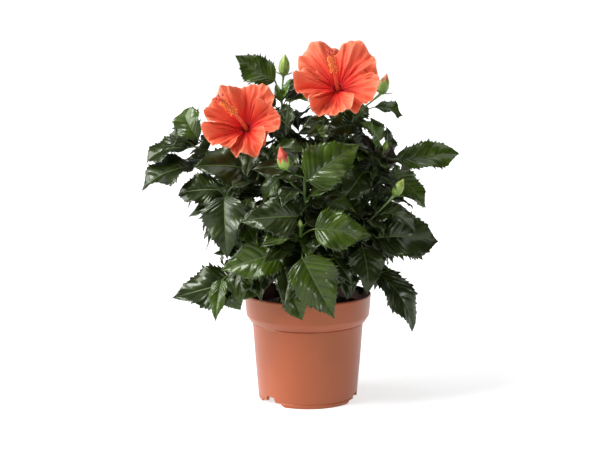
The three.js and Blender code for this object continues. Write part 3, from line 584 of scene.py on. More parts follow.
def foot_hub():
    """The short boss under the middle of the pot's floor."""
    heap = Heap()
    add_loft(heap, [circle(FOOT_RIB["hub"], z, 48) for z in (0.0, POT["floor_bottom"] + 1.0)])
    return piece("hub", heap, [POT_FINISH])


def foot_rib(bearing):
    """A rib under the floor, from the hub to the foot's wall."""
    half, top = FOOT_RIB["width"] / 2, POT["floor_bottom"] + 1.0
    out, side = pointing(bearing, 0), pointing(bearing + 90, 0)
    corners = [(-half, 0.0), (half, 0.0), (half, top), (-half, top)]
    return prism("rib", corners, out, side, 1.0, POT["foot"] - POT["wall"])


def arch_cutter(name, width, height, bearing):
    """An arch's prism that passes through the foot's wall at a bearing."""
    start, deep, top = POT["foot"] - 12.0, 30.0, width * ARCH["taper"]
    outline = [(-width / 2, -1.0), (width / 2, -1.0), (top, height), (-top, height)]
    return prism(name, outline, pointing(bearing, 0), pointing(bearing + 90, 0), start, start + deep)


print("arches at:", BEARINGS)

# %% Put the pot together
def cut(target, cutter, operation="DIFFERENCE"):
    """Cuts the cutter out of the target, or joins it by UNION, and removes the cutter."""
    modifier = target.modifiers.new("cut", "BOOLEAN")
    modifier.object, modifier.operation, modifier.solver = cutter, operation, "EXACT"
    seen = target.evaluated_get(bpy.context.evaluated_depsgraph_get())
    mesh = bpy.data.meshes.new_from_object(seen)
    target.modifiers.clear()
    target.data = mesh
    bpy.data.objects.remove(cutter)


def paint_shade_inside(pot):
    """Gives the inner wall above the shoulder a dark finish of its own: painted shade, as under the crown.
    """
    for face in pot.data.polygons:
        x, y, z = face.center
        inwards = face.normal.x * x + face.normal.y * y < 0
        if inwards and z > SHOULDER * MM:
            face.material_index = 1


cut(pot, foot_hub(), "UNION")
for bearing in BEARINGS:
    cut(pot, foot_rib(bearing + 180 / ARCH["count"]), "UNION")
    cut(pot, arch_cutter("arch", ARCH["width"], ARCH["height"], bearing))
    cut(pot, arch_cutter("window", ARCH["window_width"], ARCH["window_height"], bearing))
# The inner wall above the shoulder gets painted shade
paint_shade_inside(pot)
pot.data.polygons.foreach_set("use_smooth", [True] * len(pot.data.polygons))
pot.data.set_sharp_from_angle(angle=math.radians(32))
hand_in(pot, "pot", "pot")

# %% [markdown]
# ## The compost
# Dark peat, crumbly and a little mounded. A grid of rings with noise gives its lumps, and a
# node tree scatters crumbs over it: Distribute Points on Faces picks the places, and small faceted
# stones stand on them with random turns and sizes.

# %% The compost's surface
COMPOST = {"edge": 96.0, "mound": 4.5, "fit": 0.4, "sides": 72}


def compost_height(radius):
    """The height of the mound at a distance from the axis."""
    return COMPOST["edge"] + COMPOST["mound"] * (1 - (radius / POT["body_top"]) ** 2)


def lumps(x, y):
    """How far the peat stands up at a place, in coarse and fine lumps."""
    return 1.5 * noise.noise(Vector((x * 0.09, y * 0.09, 3.0))) + noise.noise(Vector((x * 0.3, y * 0.3, 0)))


def compost_rings():
    """Level rings up the pot's wall, then lumpy ones over the top to the middle."""
    top = POT["collar_foot"] - POT["wall"] - COMPOST["fit"]
    low = body_radius(POT["floor_top"]) - POT["wall"] - COMPOST["fit"]
    rings = [
        circle(low, POT["floor_top"] + COMPOST["fit"], COMPOST["sides"]),
        circle(POT["body_top"] - POT["wall"] - COMPOST["fit"], SHOULDER, COMPOST["sides"]),
        circle(top, SHOULDER + POT["chamfer"], COMPOST["sides"]),
    ]
    for radius in np.linspace(top, 0.5, 34):
        ring = circle(radius, compost_height(radius) - 0.6, COMPOST["sides"])
        ring[:, 2] += [lumps(x, y) for x, y, _ in ring]
        rings.append(ring)
    return rings


heap = Heap()
add_loft(heap, compost_rings())
compost = piece("compost_surface", heap, [SOIL_FINISH])
print("compost surface corners:", len(compost.data.vertices))

# %% Crumbs over the compost
def crumb_tree():
    """Small faceted stones all over a surface, each with its own turn and size."""
    tree, ins, outs = new_tree(
        "crumbs_on_compost",
        [("Crumbs per square metre", "NodeSocketFloat", 60000.0), ("Size", "NodeSocketFloat", 1.3 * MM),
         ("Seed", "NodeSocketInt", 4), ("Finish", "NodeSocketMaterial", None)],
    )
    spots = add_node(
        tree, "GeometryNodeDistributePointsOnFaces",
        [("Mesh", ins.outputs["Geometry"]), ("Density", ins.outputs["Crumbs per square metre"]),
         ("Seed", ins.outputs["Seed"])],
    )
    stone = add_node(
        tree, "GeometryNodeMeshIcoSphere", [("Radius", ins.outputs["Size"]), ("Subdivisions", 1)]
    )
    turn = add_node(
        tree, "FunctionNodeRandomValue", [(0, (0, 0, 0)), (1, (6.3, 6.3, 6.3))], data_type="FLOAT_VECTOR"
    )
    size = add_node(
        tree, "FunctionNodeRandomValue", [(0, (0.35, 0.35, 0.25)), (1, (1.5, 1.2, 0.9))],
        data_type="FLOAT_VECTOR",
    )
    put = add_node(
        tree, "GeometryNodeInstanceOnPoints",
        [("Points", spots.outputs["Points"]), ("Instance", stone.outputs["Mesh"]),
         ("Rotation", turn.outputs["Value"]), ("Scale", size.outputs["Value"])],
    )
    real = add_node(tree, "GeometryNodeRealizeInstances", [("Geometry", put.outputs["Instances"])])
    done = painted(tree, real.outputs["Geometry"], ins.outputs["Finish"])
    tree.links.new(done, outs.inputs["Geometry"])
    return tree


heap = Heap()
add_loft(heap, compost_rings()[4:], closed=False)
bed = piece("crumb_bed", heap, [SOIL_FINISH])
crumbs = run_tree(bed, crumb_tree(), "compost_crumbs", Finish=CRUMB_FINISH)
hand_in(compost, "compost", "compost")
hand_in(crumbs, "compost")

# %% [markdown]
# ## The limbs
# A real shrub forks: a woody trunk, boughs that curve out of it and turn up, and a green stem at the
# end of each. The CAD source works each limb out from a root, a tip and one bend, so the same sums
# are written here. Trunk and boughs get rings of points pushed in and out by noise, for bark
# that has relief of its own. The stems are lines that the stalk tree turns into tubes.

# %% Sizes of the limbs, and how a shoot, a leaf and a bud are written down
CLEARANCE = 0.3
TRUNK = {
    "lean": (4, 3, 46), "bow": (-1.5, 1, 0), "radius": 6.4, "tip": 5.0, "flare": 9.5, "flare_height": 9.0,
}
LIMB = {"out": 0.62, "up": 0.34, "bough_share": 0.48, "step": 0.2}
STEM = {"radius": 2.2, "tip": 1.1, "looks": 20, "clear": 2.2}


def shoot(origin, at, tip, radius, leaves, blade, seed, shown=(), buds=()):
    """A bough and its foliage: the limb it leaves, the share along that, its tip and its radius, then
    how many leaves follow the rule, how long they are, its seed, the leaves that stand out and buds."""
    return {"from": origin, "at": at, "tip": tip, "radius": radius, "leaves": leaves, "blade": blade,
            "seed": seed, "shown": shown, "buds": buds}


def shows(base, tip, front, bend=38, wide=1.0, belly=0.0, shade=None):
    """A leaf that stands out, by its blade's ends, how far it faces the front, its bend and its shape."""
    return {"base": base, "tip": tip, "front": front, "bend": bend, "wide": wide, "belly": belly,
            "shade": shade}


def bud(bend, foot, lean, long, tint):
    """A bud on its own stalk. Its bend and foot are counted from the stem's tip."""
    return {"bend": bend, "foot": foot, "lean": lean, "long": long, "tint": tint}


print("trunk:", 2 * TRUNK["radius"], "mm thick and", TRUNK["lean"][2], "mm high")

# %% Where every shoot is, from the CAD source
SHOOTS = {
    "left_arm": shoot("trunk", 0.22, (-107, -12, 266), 3.6, 9, 44, 651, [
        shows((-114, -20, 242), (-167, -34, 220), 0.5, 44, 1.15, 0.5),
        shows((-121, -8, 259), (-165, -6, 243), 0.5, 70, belly=0.9),
        shows((-114, 2, 265), (-143, 14, 272), 0.7, belly=0.4),
        shows((-110, -14, 268), (-126, 6, 299), 1, 60, belly=0.8, shade="mid"),
    ]),
    "left_mid": shoot("left_arm", 0.78, (-80, -58, 216), 2.8, 9, 50, 5938, [
        shows((-81, -66, 216), (-78, -78, 156), 1, 30),
        shows((-88, -52, 221), (-130, -40, 215), 0.6, wide=1.1, belly=0.3),
    ]),
    "low_left": shoot("left_arm", 0.34, (-62, -50, 152), 2.6, 8, 56, 1086, [
        shows((-72, -52, 129), (-135, -46, 112), 0.5, 24, belly=0.1),
        shows((-84, -66, 134), (-90, -78, 95), 0.9, 45, 0.66),
        shows((-65, -64, 140), (-66, -72, 111), 0.9, wide=1.15, shade="mid"),
    ]),
    "left_back": shoot("left_arm", 0.9, (-88, 60, 240), 2.6, 10, 52, 4485),
    "centre": shoot("trunk", 0.5, (-4, -78, 236), 3.2, 9, 54, 53, [
        shows((-1, -86, 233), (51, -62, 267), 1.1, 25, shade="mid"),
        shows((-9, -84, 199), (-68, -90, 195), 0.9),
    ], [bud((-8, -5, 1), (-18, -7, 8), (-0.22, -0.2, 1), 23, "red")]),
    "centre_low": shoot("centre", 0.5, (-8, -84, 184), 2.6, 8, 54, 483, [
        shows((6, -92, 188), (61, -86, 181), 1, shade="mid"),
        shows((-6, -97, 161), (25, -97, 102), 1.1, 25, shade="mid"),
        shows((-25, -74, 163), (-85, -74, 145), 0.8),
    ], [bud((0, -2, 3), (0, -3, 5), (0, -0.2, 1), 8, "green")]),
    "low_front": shoot("trunk", 0.26, (-16, -50, 136), 2.5, 8, 52, 67),
    "right_mid": shoot("trunk", 0.34, (72, -20, 250), 3.4, 10, 56, 1337, [
        shows((86, -16, 248), (154, -10, 255), 0.8, 12, 0.68, 0.9),
        shows((70, -30, 267), (51, -52, 288), 0.4, 20, shade="young"),
        shows((86, -4, 235), (122, 4, 197), 0.9, 10, 0.85, 0.6),
        shows((66, 0, 246), (42, -4, 208), 0.9),
        shows((80, 0, 251), (80, 0, 281), 0.6, 20, 1.2),
    ], [bud((2, -1, 4), (4, -2, 8), (0.2, -0.1, 1), 10, "green")]),
    "right_low": shoot("right_mid", 0.74, (58, -56, 190), 2.7, 10, 54, 505, [
        shows((67, -60, 175), (130, -42, 169), 1, 26, 1.05, 0.4),
        shows((52, -70, 167), (57, -82, 122), 0.9),
    ], [bud((14, 4, 12), (26, 7, 25), (0.55, 0, 1), 19, "yellow")]),
    "low_right": shoot("right_mid", 0.34, (54, -38, 146), 2.5, 9, 54, 1363, [
        shows((66, -45, 139), (104, -48, 78), 0.55, 80, 0.66, 0.35),
    ]),
    "right_back": shoot("right_mid", 0.9, (96, 52, 226), 2.6, 10, 46, 3280),
    "top_right": shoot("trunk", 1, (49, -10, 296), 5, 10, 52, 1590, [
        shows((66, -8, 300), (96, -2, 291), 0.45, 50, belly=1.3, shade="mid"),
        shows((44, -22, 284), (14, -34, 274), 0.8),
    ], [bud((9, 1, 4), (24, 1, 17), (0.28, 0, 1), 21, "tipped")]),
    "top_left": shoot("trunk", 0.76, (-45, -18, 266), 3.4, 10, 56, 127, [
        shows((-50, -34, 237), (-113, -46, 243), 0.7, wide=1.05, belly=0.3),
    ]),
    "top_centre": shoot("top_left", 0.8, (-27, 14, 311), 2.6, 10, 52, 1819, [
        shows((-33, 15, 325), (-74, 13, 352), 0.9, -12, belly=0.5, shade="mid"),
        shows((-20, 8, 318), (8, -2, 330), 0.6),
    ], [bud((1, 0, 9), (2, 0, 20), (0.08, 0, 1), 22, "yellow")]),
    "top_back": shoot("top_right", 0.8, (28, 50, 306), 2.6, 10, 48, 578),
    "back": shoot("trunk", 0.64, (-18, 98, 252), 3.4, 10, 58, 151),
    "back_low_left": shoot("back", 0.5, (-62, 88, 168), 2.6, 9, 58, 1851),
    "back_low_right": shoot("back", 0.7, (66, 88, 178), 2.6, 9, 58, 1017),
    "low_back": shoot("trunk", 0.18, (2, 52, 138), 2.5, 7, 56, 181),
}
print("shoots:", len(SHOOTS), "leaves that stand out:", sum(len(s["shown"]) for s in SHOOTS.values()))

# %% Smaller leaves on finer twigs, where the photograph shows them one by one
SMALL_LEAVES = {
    "centre_low": [shows((-20, -80, 129), (-6, -84, 98), 1.0, 40, 1.0, 0.4, "mid")],
    "low_left": [
        shows((-82, -58, 130), (-66, -60, 103), 0.9, 40, 1.1, 0.4, "mid"),
        shows((-76, -54, 135), (-48, -58, 117), 0.9, 30, 1.2, 0.4, "mid"),
    ],
    "left_arm": [shows((-112, -4, 262), (-134, -6, 280), 0.8, 30, 0.9, 0.5, "dark")],
    "top_centre": [
        shows((-24, 4, 310), (-17, 4, 329), 0.8, 30, 0.75, 0.3, "young"),
        shows((-25, 8, 307), (-33, 8, 324), 0.8, shade="mid"),
        shows((-19, 2, 301), (-24, 2, 268), 0.9, 30, 1.1, 0.4, "dark"),
        shows((-17, 14, 285), (26, 10, 275), 0.7, 30, 0.7, 0.5, "dark"),
        shows((-15, 22, 281), (5, 24, 299), 0.7, 30, 1.1, 0.3, "dark"),
        shows((-22, 14, 278), (-10, 16, 250), 0.9, 30, 1.2, 0.4, "dark"),
        shows((-12, 8, 297), (-9, 6, 274), 0.9, 30, 0.8, 0.4, "dark"),
        shows((-14, 4, 262), (9, 0, 258), 0.8, 30, 1.0, 0.4, "dark"),
    ],
    "top_right": [
        shows((20, -8, 288), (-7, -12, 280), 0.8, 30, 0.75, 0.4, "dark"),
        shows((24, -6, 266), (7, -10, 281), 0.8, 30, 1.0, 0.4, "dark"),
        shows((34, 0, 276), (22, 2, 258), 0.8, 30, 1.1, 0.4, "mid"),
    ],
    "top_left": [shows((-38, -10, 247), (-53, -12, 230), 0.7, shade="dark")],
    "right_mid": [
        shows((70, -22, 266), (62, -26, 291), 1.0, 30, 1.2, 0.4, "mid"),
        shows((2, -24, 274), (35, -26, 277), 0.5, 30, 0.75, 0.6, "mid"),
        shows((42, -14, 234), (20, -20, 210), 0.9, 30, 1.1, 0.4, "dark"),
        shows((68, 10, 258), (42, 12, 246), 0.8, 30, 1.0, 0.4, "dark"),
        shows((67, -6, 253), (52, -8, 273), 0.9, 40, 0.8, 0.5, "wine"),
        shows((70, -14, 239), (84, -18, 262), 1.0, 30, 1.3, 0.9, "wine"),
        shows((74, -10, 256), (67, -10, 267), 0.9, 30, 0.9, 0.3, "young"),
        shows((78, -10, 256), (84, -8, 266), 0.9, 30, 0.9, 0.3, "young"),
    ],
}
print("smaller leaves placed one by one:", sum(len(small) for small in SMALL_LEAVES.values()))

# %% Work out the curves of all limbs
FOOT = np.array([0, 0, compost_height(0) + CLEARANCE])
TOP = FOOT + np.array(TRUNK["lean"])


def trunk_radius(t):
    """The trunk's radius at a share of its length, with its taper and its root flare."""
    flare = max(0.0, 1 - t * TRUNK["lean"][2] / TRUNK["flare_height"])
    taper = (TRUNK["tip"] - TRUNK["radius"]) * t
    return TRUNK["radius"] + taper + (TRUNK["flare"] - TRUNK["radius"]) * flare**2


boughs = {"trunk": Bezier(FOOT, (FOOT + TOP) / 2 + np.array(TRUNK["bow"]), TOP)}
stems = {}
for name, s in SHOOTS.items():
    parent = boughs[s["from"]]
    root, tip = parent.at(s["at"]), np.array(s["tip"], float)
    way = tip - root
    bend = root + way * np.array([LIMB["out"], LIMB["out"], LIMB["up"]])
    if s["at"] == 1:
        along = parent.along(1)
        root = root + along * CLEARANCE
        bend = root + along * np.linalg.norm(way) * LIMB["up"]
    share = LIMB["bough_share"]
    low, high = root + (bend - root) * share, bend + (tip - bend) * share
    end = low + (high - low) * share
    boughs[name] = Bezier(root, low, end)
    stems[name] = Bezier(end + boughs[name].along(1) * CLEARANCE, high, tip)
print("limbs:", len(boughs), "tallest tip:", max(s["tip"][2] for s in SHOOTS.values()), "mm")


# %% Bark with relief on the trunk and the boughs
def bark_rings(curve, radius_at, sides, steps, depth):
    """Rings along a limb. Long ridges and small knots push each point in or out."""
    rings = []
    across = None
    for k in range(steps + 1):
        t = k / steps
        middle, along = curve.at(t), curve.along(t)
        across = axes_round(along)[0] if across is None else square(across, along)
        over = np.cross(along, across)
        ring = []
        for i in range(sides):
            a = 2 * math.pi * i / sides
            out = across * math.cos(a) + over * math.sin(a)
            spot = Vector((math.cos(a) * 2.6, math.sin(a) * 2.6, middle[2] * 0.05))
            fine = Vector(tuple(middle * 0.35 + out * 3.0))
            push = depth * (noise.noise(spot) + 0.6 * noise.noise(fine))
            ring.append(middle + out * (radius_at(t) + push))
        rings.append(np.array(ring))
    return rings


def bough_radius(thickness):
    """The rule for a bough's radius, from its own thickness down to a step more than its stem's."""
    return lambda t: thickness + (STEM["radius"] + LIMB["step"] - thickness) * t


heap = Heap()
rings = bark_rings(boughs["trunk"], trunk_radius, sides=40, steps=46, depth=0.5)
rings[0][:, 2] = FOOT[2] - 0.2
add_loft(heap, rings)
trunk = piece("trunk_bark", heap, [BARK_FINISH])
hand_in(trunk, "bark", "trunk")

heap = Heap()
for name, s in SHOOTS.items():
    rings = bark_rings(boughs[name], bough_radius(s["radius"]), sides=16, steps=26, depth=0.22)
    add_loft(heap, rings)
branches = piece("bough_bark", heap, [BOUGH_FINISH])
hand_in(branches, "young_bark", *["bough_" + name for name in SHOOTS])

# %% [markdown]
# ## The leaves, and where they grow
# Leaves stand one by one round a stem, each turned by 137.5 degrees from the one below. The CAD
# source tries each leaf again, turned a little, until it finds room. Rather than repeat that search,
# this script makes each try and keeps the one whose tip and edges are really there in
# the CAD node, found with a KDTree of its corners. So both models have the same leaves.

# %% The shape of a blade
LEAF = {
    "half": 0.33, "base_round": 0.5, "tip_taper": 1.3, "belly_round": 0.4, "belly_taper": 0.5,
    "fold": 0.42, "relax": 0.26, "youngest": 0.62, "stalk_share": 0.34, "stalk_drop": 0.4,
    "lowest": 0.04, "thick": 0.4,
}
DIVERGENCE = 137.5
OUTWARD_SHARE = 0.8
LOOKS = {"up": 0.75, "out": 0.75}
PITCH = {"lowest": -58, "gain": 72, "spread": 30}
TRIES = 14


def blade_width(u, belly):
    """Half a blade's width along it, as a share of its widest. A belly moves that towards the tip."""
    rounded = LEAF["base_round"] + LEAF["belly_round"] * belly
    taper = LEAF["tip_taper"] - LEAF["belly_taper"] * belly
    peak = rounded / (rounded + taper)
    return u**rounded * (1 - u) ** taper / (peak**rounded * (1 - peak) ** taper)


def blade_points(leaf, u, v, widen=1.0, lift=0.0, sway=0.0):
    """Points of a blade at shares u of its length and v across it, from one edge, -1, to the other, 1."""
    u, v = np.broadcast_arrays(np.asarray(u, float), np.asarray(v, float))
    start = math.radians(leaf["bend"]) / 2
    angle = start * (1 - 2 * u)
    forward = leaf["long"] * (math.sin(start) - np.sin(angle)) / (2 * start)
    rise = leaf["long"] * (np.cos(angle) - math.cos(start)) / (2 * start)
    half = leaf["long"] * LEAF["half"] * leaf["wide"] * blade_width(u, leaf["belly"]) * widen
    up = half * (LEAF["fold"] * np.abs(v) - LEAF["relax"] * v * v) + lift
    normal = leaf["face"] * np.cos(angle)[..., None] - leaf["along"] * np.sin(angle)[..., None]
    points = (
        leaf["base"] + leaf["along"] * forward[..., None] + leaf["face"] * rise[..., None]
        + leaf["side"] * (half * v + sway)[..., None] + normal * up[..., None]
    )
    return points, normal


def place_leaf(root, base, tip, front, bend, wide=1.0, belly=0.0):
    """A leaf's directions and its length along the midrib, from its two ends."""
    along = unit(tip - base)
    outward = unit(np.array([base[0], base[1], 0.0]))
    face = square(UP * LOOKS["up"] + outward * LOOKS["out"] + FRONT * front, along)
    half = math.radians(bend) / 2
    long = np.linalg.norm(tip - base) * half / math.sin(half)
    return {"root": root, "base": base, "along": along, "face": face, "side": np.cross(along, face),
            "long": long, "bend": bend, "wide": wide, "belly": belly}


print("the widest part of a 50 mm blade is", 2 * 50 * LEAF["half"], "mm across")

# %% The two rules for leaves
def shown_leaf(name, index, attempt):
    """A leaf that stands out, moved a little at each attempt."""
    s, stem = SHOOTS[name], stems[name]
    leaf = s["shown"][index]
    draw = seeded(s["seed"] * 1000 + 500 + index * 20 + attempt)
    base, tip = (np.array([c + 2 * attempt * (draw() - 0.5) for c in leaf[end]]) for end in ("base", "tip"))
    shares = [step / STEM["looks"] for step in range(STEM["looks"] + 1)]
    nearest = min(shares, key=lambda t: np.linalg.norm(stem.at(t) - base))
    reach = np.linalg.norm(stem.at(nearest) - base) / np.linalg.norm(stem.tip - stem.root)
    root = stem.at(max(LEAF["lowest"], nearest - LEAF["stalk_drop"] * reach))
    return place_leaf(root, base, tip, leaf["front"], leaf["bend"], leaf["wide"], leaf["belly"])


def seeded_leaf(name, index, attempt):
    """A leaf of the spiral rule, turned a little and made shorter at each attempt."""
    s = SHOOTS[name]
    draw = seeded(s["seed"] * 1000 + index * 20 + attempt)
    up = (index + 0.5 + 0.3 * (draw() - 0.5)) / s["leaves"]
    outward = math.degrees(math.atan2(s["tip"][1], s["tip"][0]))
    turn = (s["seed"] * 57 + index * DIVERGENCE) % 360 - 180
    bearing = outward + turn * OUTWARD_SHARE + attempt * 30 * (draw() - 0.5)
    pitch = PITCH["lowest"] + PITCH["gain"] * up + (PITCH["spread"] + 8 * attempt) * (draw() - 0.5)
    long = s["blade"] * (1 - (1 - LEAF["youngest"]) * up) * (0.92 + 0.16 * draw()) * (1 - 0.03 * attempt)
    root = stems[name].at(LEAF["lowest"] + (1 - LEAF["lowest"]) * up)
    base = root + pointing(bearing, min(60, pitch + 45)) * long * LEAF["stalk_share"]
    leaf = place_leaf(root, base, base + pointing(bearing, pitch) * long, 0.1, 26 + 30 * draw())
    leaf["up"] = up
    return leaf


print("the first leaf of the rule grows from", np.round(seeded_leaf("back", 0, 0)["root"], 1), "mm")

# %% The search for the leaves that the solids have
def corner_tree(node):
    """A KDTree of a CAD node's corners."""
    corners = NODES[node].data.vertices
    tree = KDTree(len(corners))
    for i, corner in enumerate(corners):
        tree.insert(corner.co, i)
    tree.balance()
    return tree


def is_there(leaf, tree, sections):
    """True if most of a blade's edge points and its tip are corners of the CAD node."""
    u = np.array([u for u, _ in sections for _ in (0, 1)] + [1.0])
    widen = np.array([w for _, w in sections for _ in (0, 1)] + [1.0])
    v = np.array([s for _ in sections for s in (-1, 1)] + [0.0])
    points, _ = blade_points(leaf, u, v, widen)
    found = [tree.find(Vector(p * MM))[2] < 0.03 * MM for p in points]
    return sum(found) >= 0.7 * len(found)


SHOWN_SECTIONS = [(0.06, 1), (0.3, 1.03), (0.52, 1.14), (0.6, 0.88), (0.82, 1.1)]
RULE_SECTIONS = [(0.08, 1), (0.36, 1.06), (0.7, 1.12)]
leaves = []
missed = []
for name, s in SHOOTS.items():
    tree = corner_tree("leaves_" + name)
    for rule, count, sections in ((shown_leaf, len(s["shown"]), SHOWN_SECTIONS),
                                  (seeded_leaf, s["leaves"], RULE_SECTIONS)):
        for index in range(count):
            tries = (rule(name, index, attempt) for attempt in range(TRIES))
            leaf = next((leaf for leaf in tries if is_there(leaf, tree, sections)), None)
            if leaf is None:
                missed.append((name, rule.__name__, index))
                continue
            shown = rule is shown_leaf
            leaf.update(shoot=name, shown=shown, seed=s["seed"] * 100 + index + 50 * shown)
            leaf["shade"] = s["shown"][index]["shade"] if shown else None
            leaves.append(leaf)
print("leaves found in the solids:", len(leaves), "of them standing out:",
      sum(leaf["shown"] for leaf in leaves), "not grown there:", missed)

# %% [markdown]
# ## What a leaf looks like close up
# A hibiscus leaf is oval with a drawn-out tip and a saw-toothed edge. Its side veins are sunk, and the
# tissue between them swells up like a quilt, which breaks the light on it into streaks. Bump in a
# material would not change the outline, so the relief is real: the grid's rows run
# along the side veins, which makes a vein a narrow strip of faces, and each leaf is a thin closed
# shell with a paler, duller underside.

# %% Thin closed shells
def add_sheet(heap, top, normal, thick, slots, under, rim):
    """A thin closed shell under a grid of points. slots has one slot for each face of its upper side."""
    rows, columns = top.shape[:2]
    count = rows * columns
    faces = grid_faces(rows, columns)
    bottom = top - normal * thick[..., None]
    edge = [(0, c) for c in range(columns)] + [(r, columns - 1) for r in range(1, rows)]
    edge += [(rows - 1, c) for c in range(columns - 2, -1, -1)] + [(r, 0) for r in range(rows - 2, 0, -1)]
    p = np.array([r * columns + c for r, c in edge])
    q = np.roll(p, -1)
    sides = np.stack([q, p, p + count, q + count], -1)
    points = np.concatenate([top.reshape(-1, 3), bottom.reshape(-1, 3)])
    quads = np.concatenate([faces, faces[:, ::-1] + count, sides])
    heap.add(points, quads.tolist(), slots + [under] * len(faces) + [rim] * len(sides))


def blade_grid(veins, fractions, teeth, quilt, across):
    """A blade's grid of shares. Rows follow the side veins, and columns run from edge to edge."""
    total = veins + 1
    t = np.array([-a for a in across[:0:-1]] + list(across))
    size = np.abs(t)
    rows = [(k, f) for k in range(total) for f in fractions]
    u, tooth, swell, vein, panel = [], [], [], [], []
    for k, f in rows:
        # The strip of faces that is a vein gets narrower towards the edge
        narrow = 1 - 0.55 * size
        x = k + f * narrow if f < 0.1 else k + 1 - (1 - f) * narrow if f > 0.9 else k + f
        s = np.clip(x / total, 0.004, 0.992)
        # A row leaves the midrib lower down than it meets the edge
        middle = np.clip((s - 0.15) / 0.85, 0, 1) ** 1.6
        reach = s + (middle - s) * (1 - size**1.25)
        point = np.where(size > 0.99, teeth[f] * np.minimum(1, 6 * s) * np.minimum(1, 5 * (1 - s)), 0.0)
        u.append(np.clip(reach + 0.012 * point, 0.003, 0.994))
        tooth.append(point)
        swell.append(quilt[f] * np.sin(math.pi * size**0.75) ** 0.7 * (1 - 0.5 * s))
        vein.append(f > 0.9)
        panel.append(np.where(t < 0, k, k + total))
    inner = np.arange(len(t) - 1)
    middle = len(across) - 1
    is_rib = (inner == middle) | (inner == middle - 1)
    slots = []
    for r in range(len(rows) - 1):
        slots += [MIDRIB if is_rib[c] else VEIN if vein[r] and rows[r][0] < veins else -1 for c in inner]
    return {"u": np.array(u), "v": np.broadcast_to(t, (len(rows), len(t))), "tooth": np.array(tooth),
            "swell": np.array(swell), "panel": np.array(panel), "panels": 2 * total,
            "slots": np.array(slots)}


# The rows between two side veins, by their share of the way: how far each one's end stands out as a
# tooth, and how high its middle swells
NEAR_GRID = blade_grid(
    veins=8,
    fractions=(0.07, 0.25, 0.43, 0.5, 0.75, 0.93),
    teeth={0.07: 0.1, 0.25: 0.25, 0.43: 0.5, 0.5: 0.05, 0.75: 0.5, 0.93: 1.0},
    quilt={0.07: 0.0, 0.25: 0.8, 0.43: 1.0, 0.5: 1.0, 0.75: 0.8, 0.93: 0.0},
    across=(0, 0.03, 0.18, 0.38, 0.58, 0.78, 0.92, 1.0),
)
FAR_GRID = blade_grid(
    veins=6,
    fractions=(0.08, 0.45, 0.52, 0.92),
    teeth={0.08: 0.1, 0.45: 0.5, 0.52: 0.05, 0.92: 1.0},
    quilt={0.08: 0.0, 0.45: 1.0, 0.52: 1.0, 0.92: 0.0},
    across=(0, 0.035, 0.35, 0.75, 1.0),
)
print("faces of a near blade:", 2 * len(NEAR_GRID["slots"]), "of a far one:", 2 * len(FAR_GRID["slots"]))

# %% Keep every point inside the CAD box
EASE = 3.0
LOW, HIGH = (np.array(corner) / MM for corner in CAD_BOX)


def kept_inside(points):
    """Eases points back as they come near the sides of the CAD box, so that the plant keeps its size."""
    points = points.copy()
    for axis in range(3):
        for sign, limit in ((1, HIGH[axis]), (-1, -LOW[axis])):
            room = limit - sign * points[..., axis]
            eased = EASE * np.exp(np.minimum(room / EASE - 1, 0))
            points[..., axis] = sign * (limit - np.where(room < EASE, eased, room))
    return points


print("the plant's reach, in mm:", LOW.round(1), HIGH.round(1))

# %% One leaf, with its own small waves and its own green
SWELL = 0.013
TOOTH = {"near": 0.23, "far": 0.17}
LIVELY = {"lobes": 0.09, "wave": 0.26, "twist": 0.3, "sway": 0.06, "curl": 0.7, "shown": 0.8, "tip": 0.55}


def add_blade(heap, leaf):
    """Adds one leaf. Its waves, twist and hooked tip are its own, and gentler where it stands out."""
    grid = NEAR_GRID if leaf["shown"] else FAR_GRID
    draw = seeded(leaf["seed"] + 77)
    ease = LIVELY["shown"] if leaf["shown"] else 1.0
    u, v = grid["u"], grid["v"]
    size = np.abs(v)
    # Each half of the blade has a phase of its own
    one, other = 6.3 * draw(), 6.3 * draw()
    phase = np.where(v < 0, one, other)
    twist, sway = LIVELY["twist"] * ease * (draw() - 0.5), LIVELY["sway"] * ease * (draw() - 0.5)
    curl = LIVELY["curl"] * ease * (1.3 * draw() - 0.3)
    puffed = np.array([0.55 + 0.9 * draw() for _ in range(grid["panels"])])
    uneven = 0.55 + 0.8 * np.abs(np.sin(19 * u + phase))
    tooth = TOOTH["near" if leaf["shown"] else "far"] * grid["tooth"] * uneven
    drawn_out = 1 - LIVELY["tip"] * leaf["belly"] * np.clip((u - 0.76) / 0.2, 0, 1)
    widen = (1 + LIVELY["lobes"] * size * np.sin(9 * u + phase) + tooth) * drawn_out
    half = leaf["long"] * LEAF["half"] * leaf["wide"] * blade_width(u, leaf["belly"])
    lift = grid["swell"] * SWELL * leaf["long"] * puffed[grid["panel"]]
    lift = lift + half * LIVELY["wave"] * ease * np.sin(13 * u + phase + 1) * size**2 * np.minimum(1, 3 * u)
    lift = lift + half * twist * v * u - curl * leaf["long"] * np.clip(u - 0.66, 0, 1) ** 2
    top, normal = blade_points(leaf, u, v, widen, lift, sway * leaf["long"] * np.sin(math.pi * u))
    # Leaves higher up a stem more often get a lighter green, as young leaves do; leaves of the finer twigs,
    # which fill the crown's middle, count as lowest, so most are dark, which paints shade inside the crown
    chance = draw() + 0.35 * leaf.get("up", 0.0)
    shade = YOUNG if chance > 1.22 else MID if chance > 0.78 else DARK
    if leaf["shade"]:
        shade = SHADES[leaf["shade"]]
    slots = np.where(grid["slots"] < 0, shade, grid["slots"])
    # Side veins of dark and mid leaves take the dark vein green, which on mid-green leaves paints shade in
    # their sunk grooves; young leaves keep pale veins of their own
    slots[slots == VEIN] = {DARK: VEIN, MID: VEIN, YOUNG: PALE_VEIN, WINE: WINE}[shade]
    thick = LEAF["thick"] * (1 - 0.5 * size)
    add_sheet(heap, kept_inside(top), normal, thick, slots.tolist(), UNDERSIDE, shade)


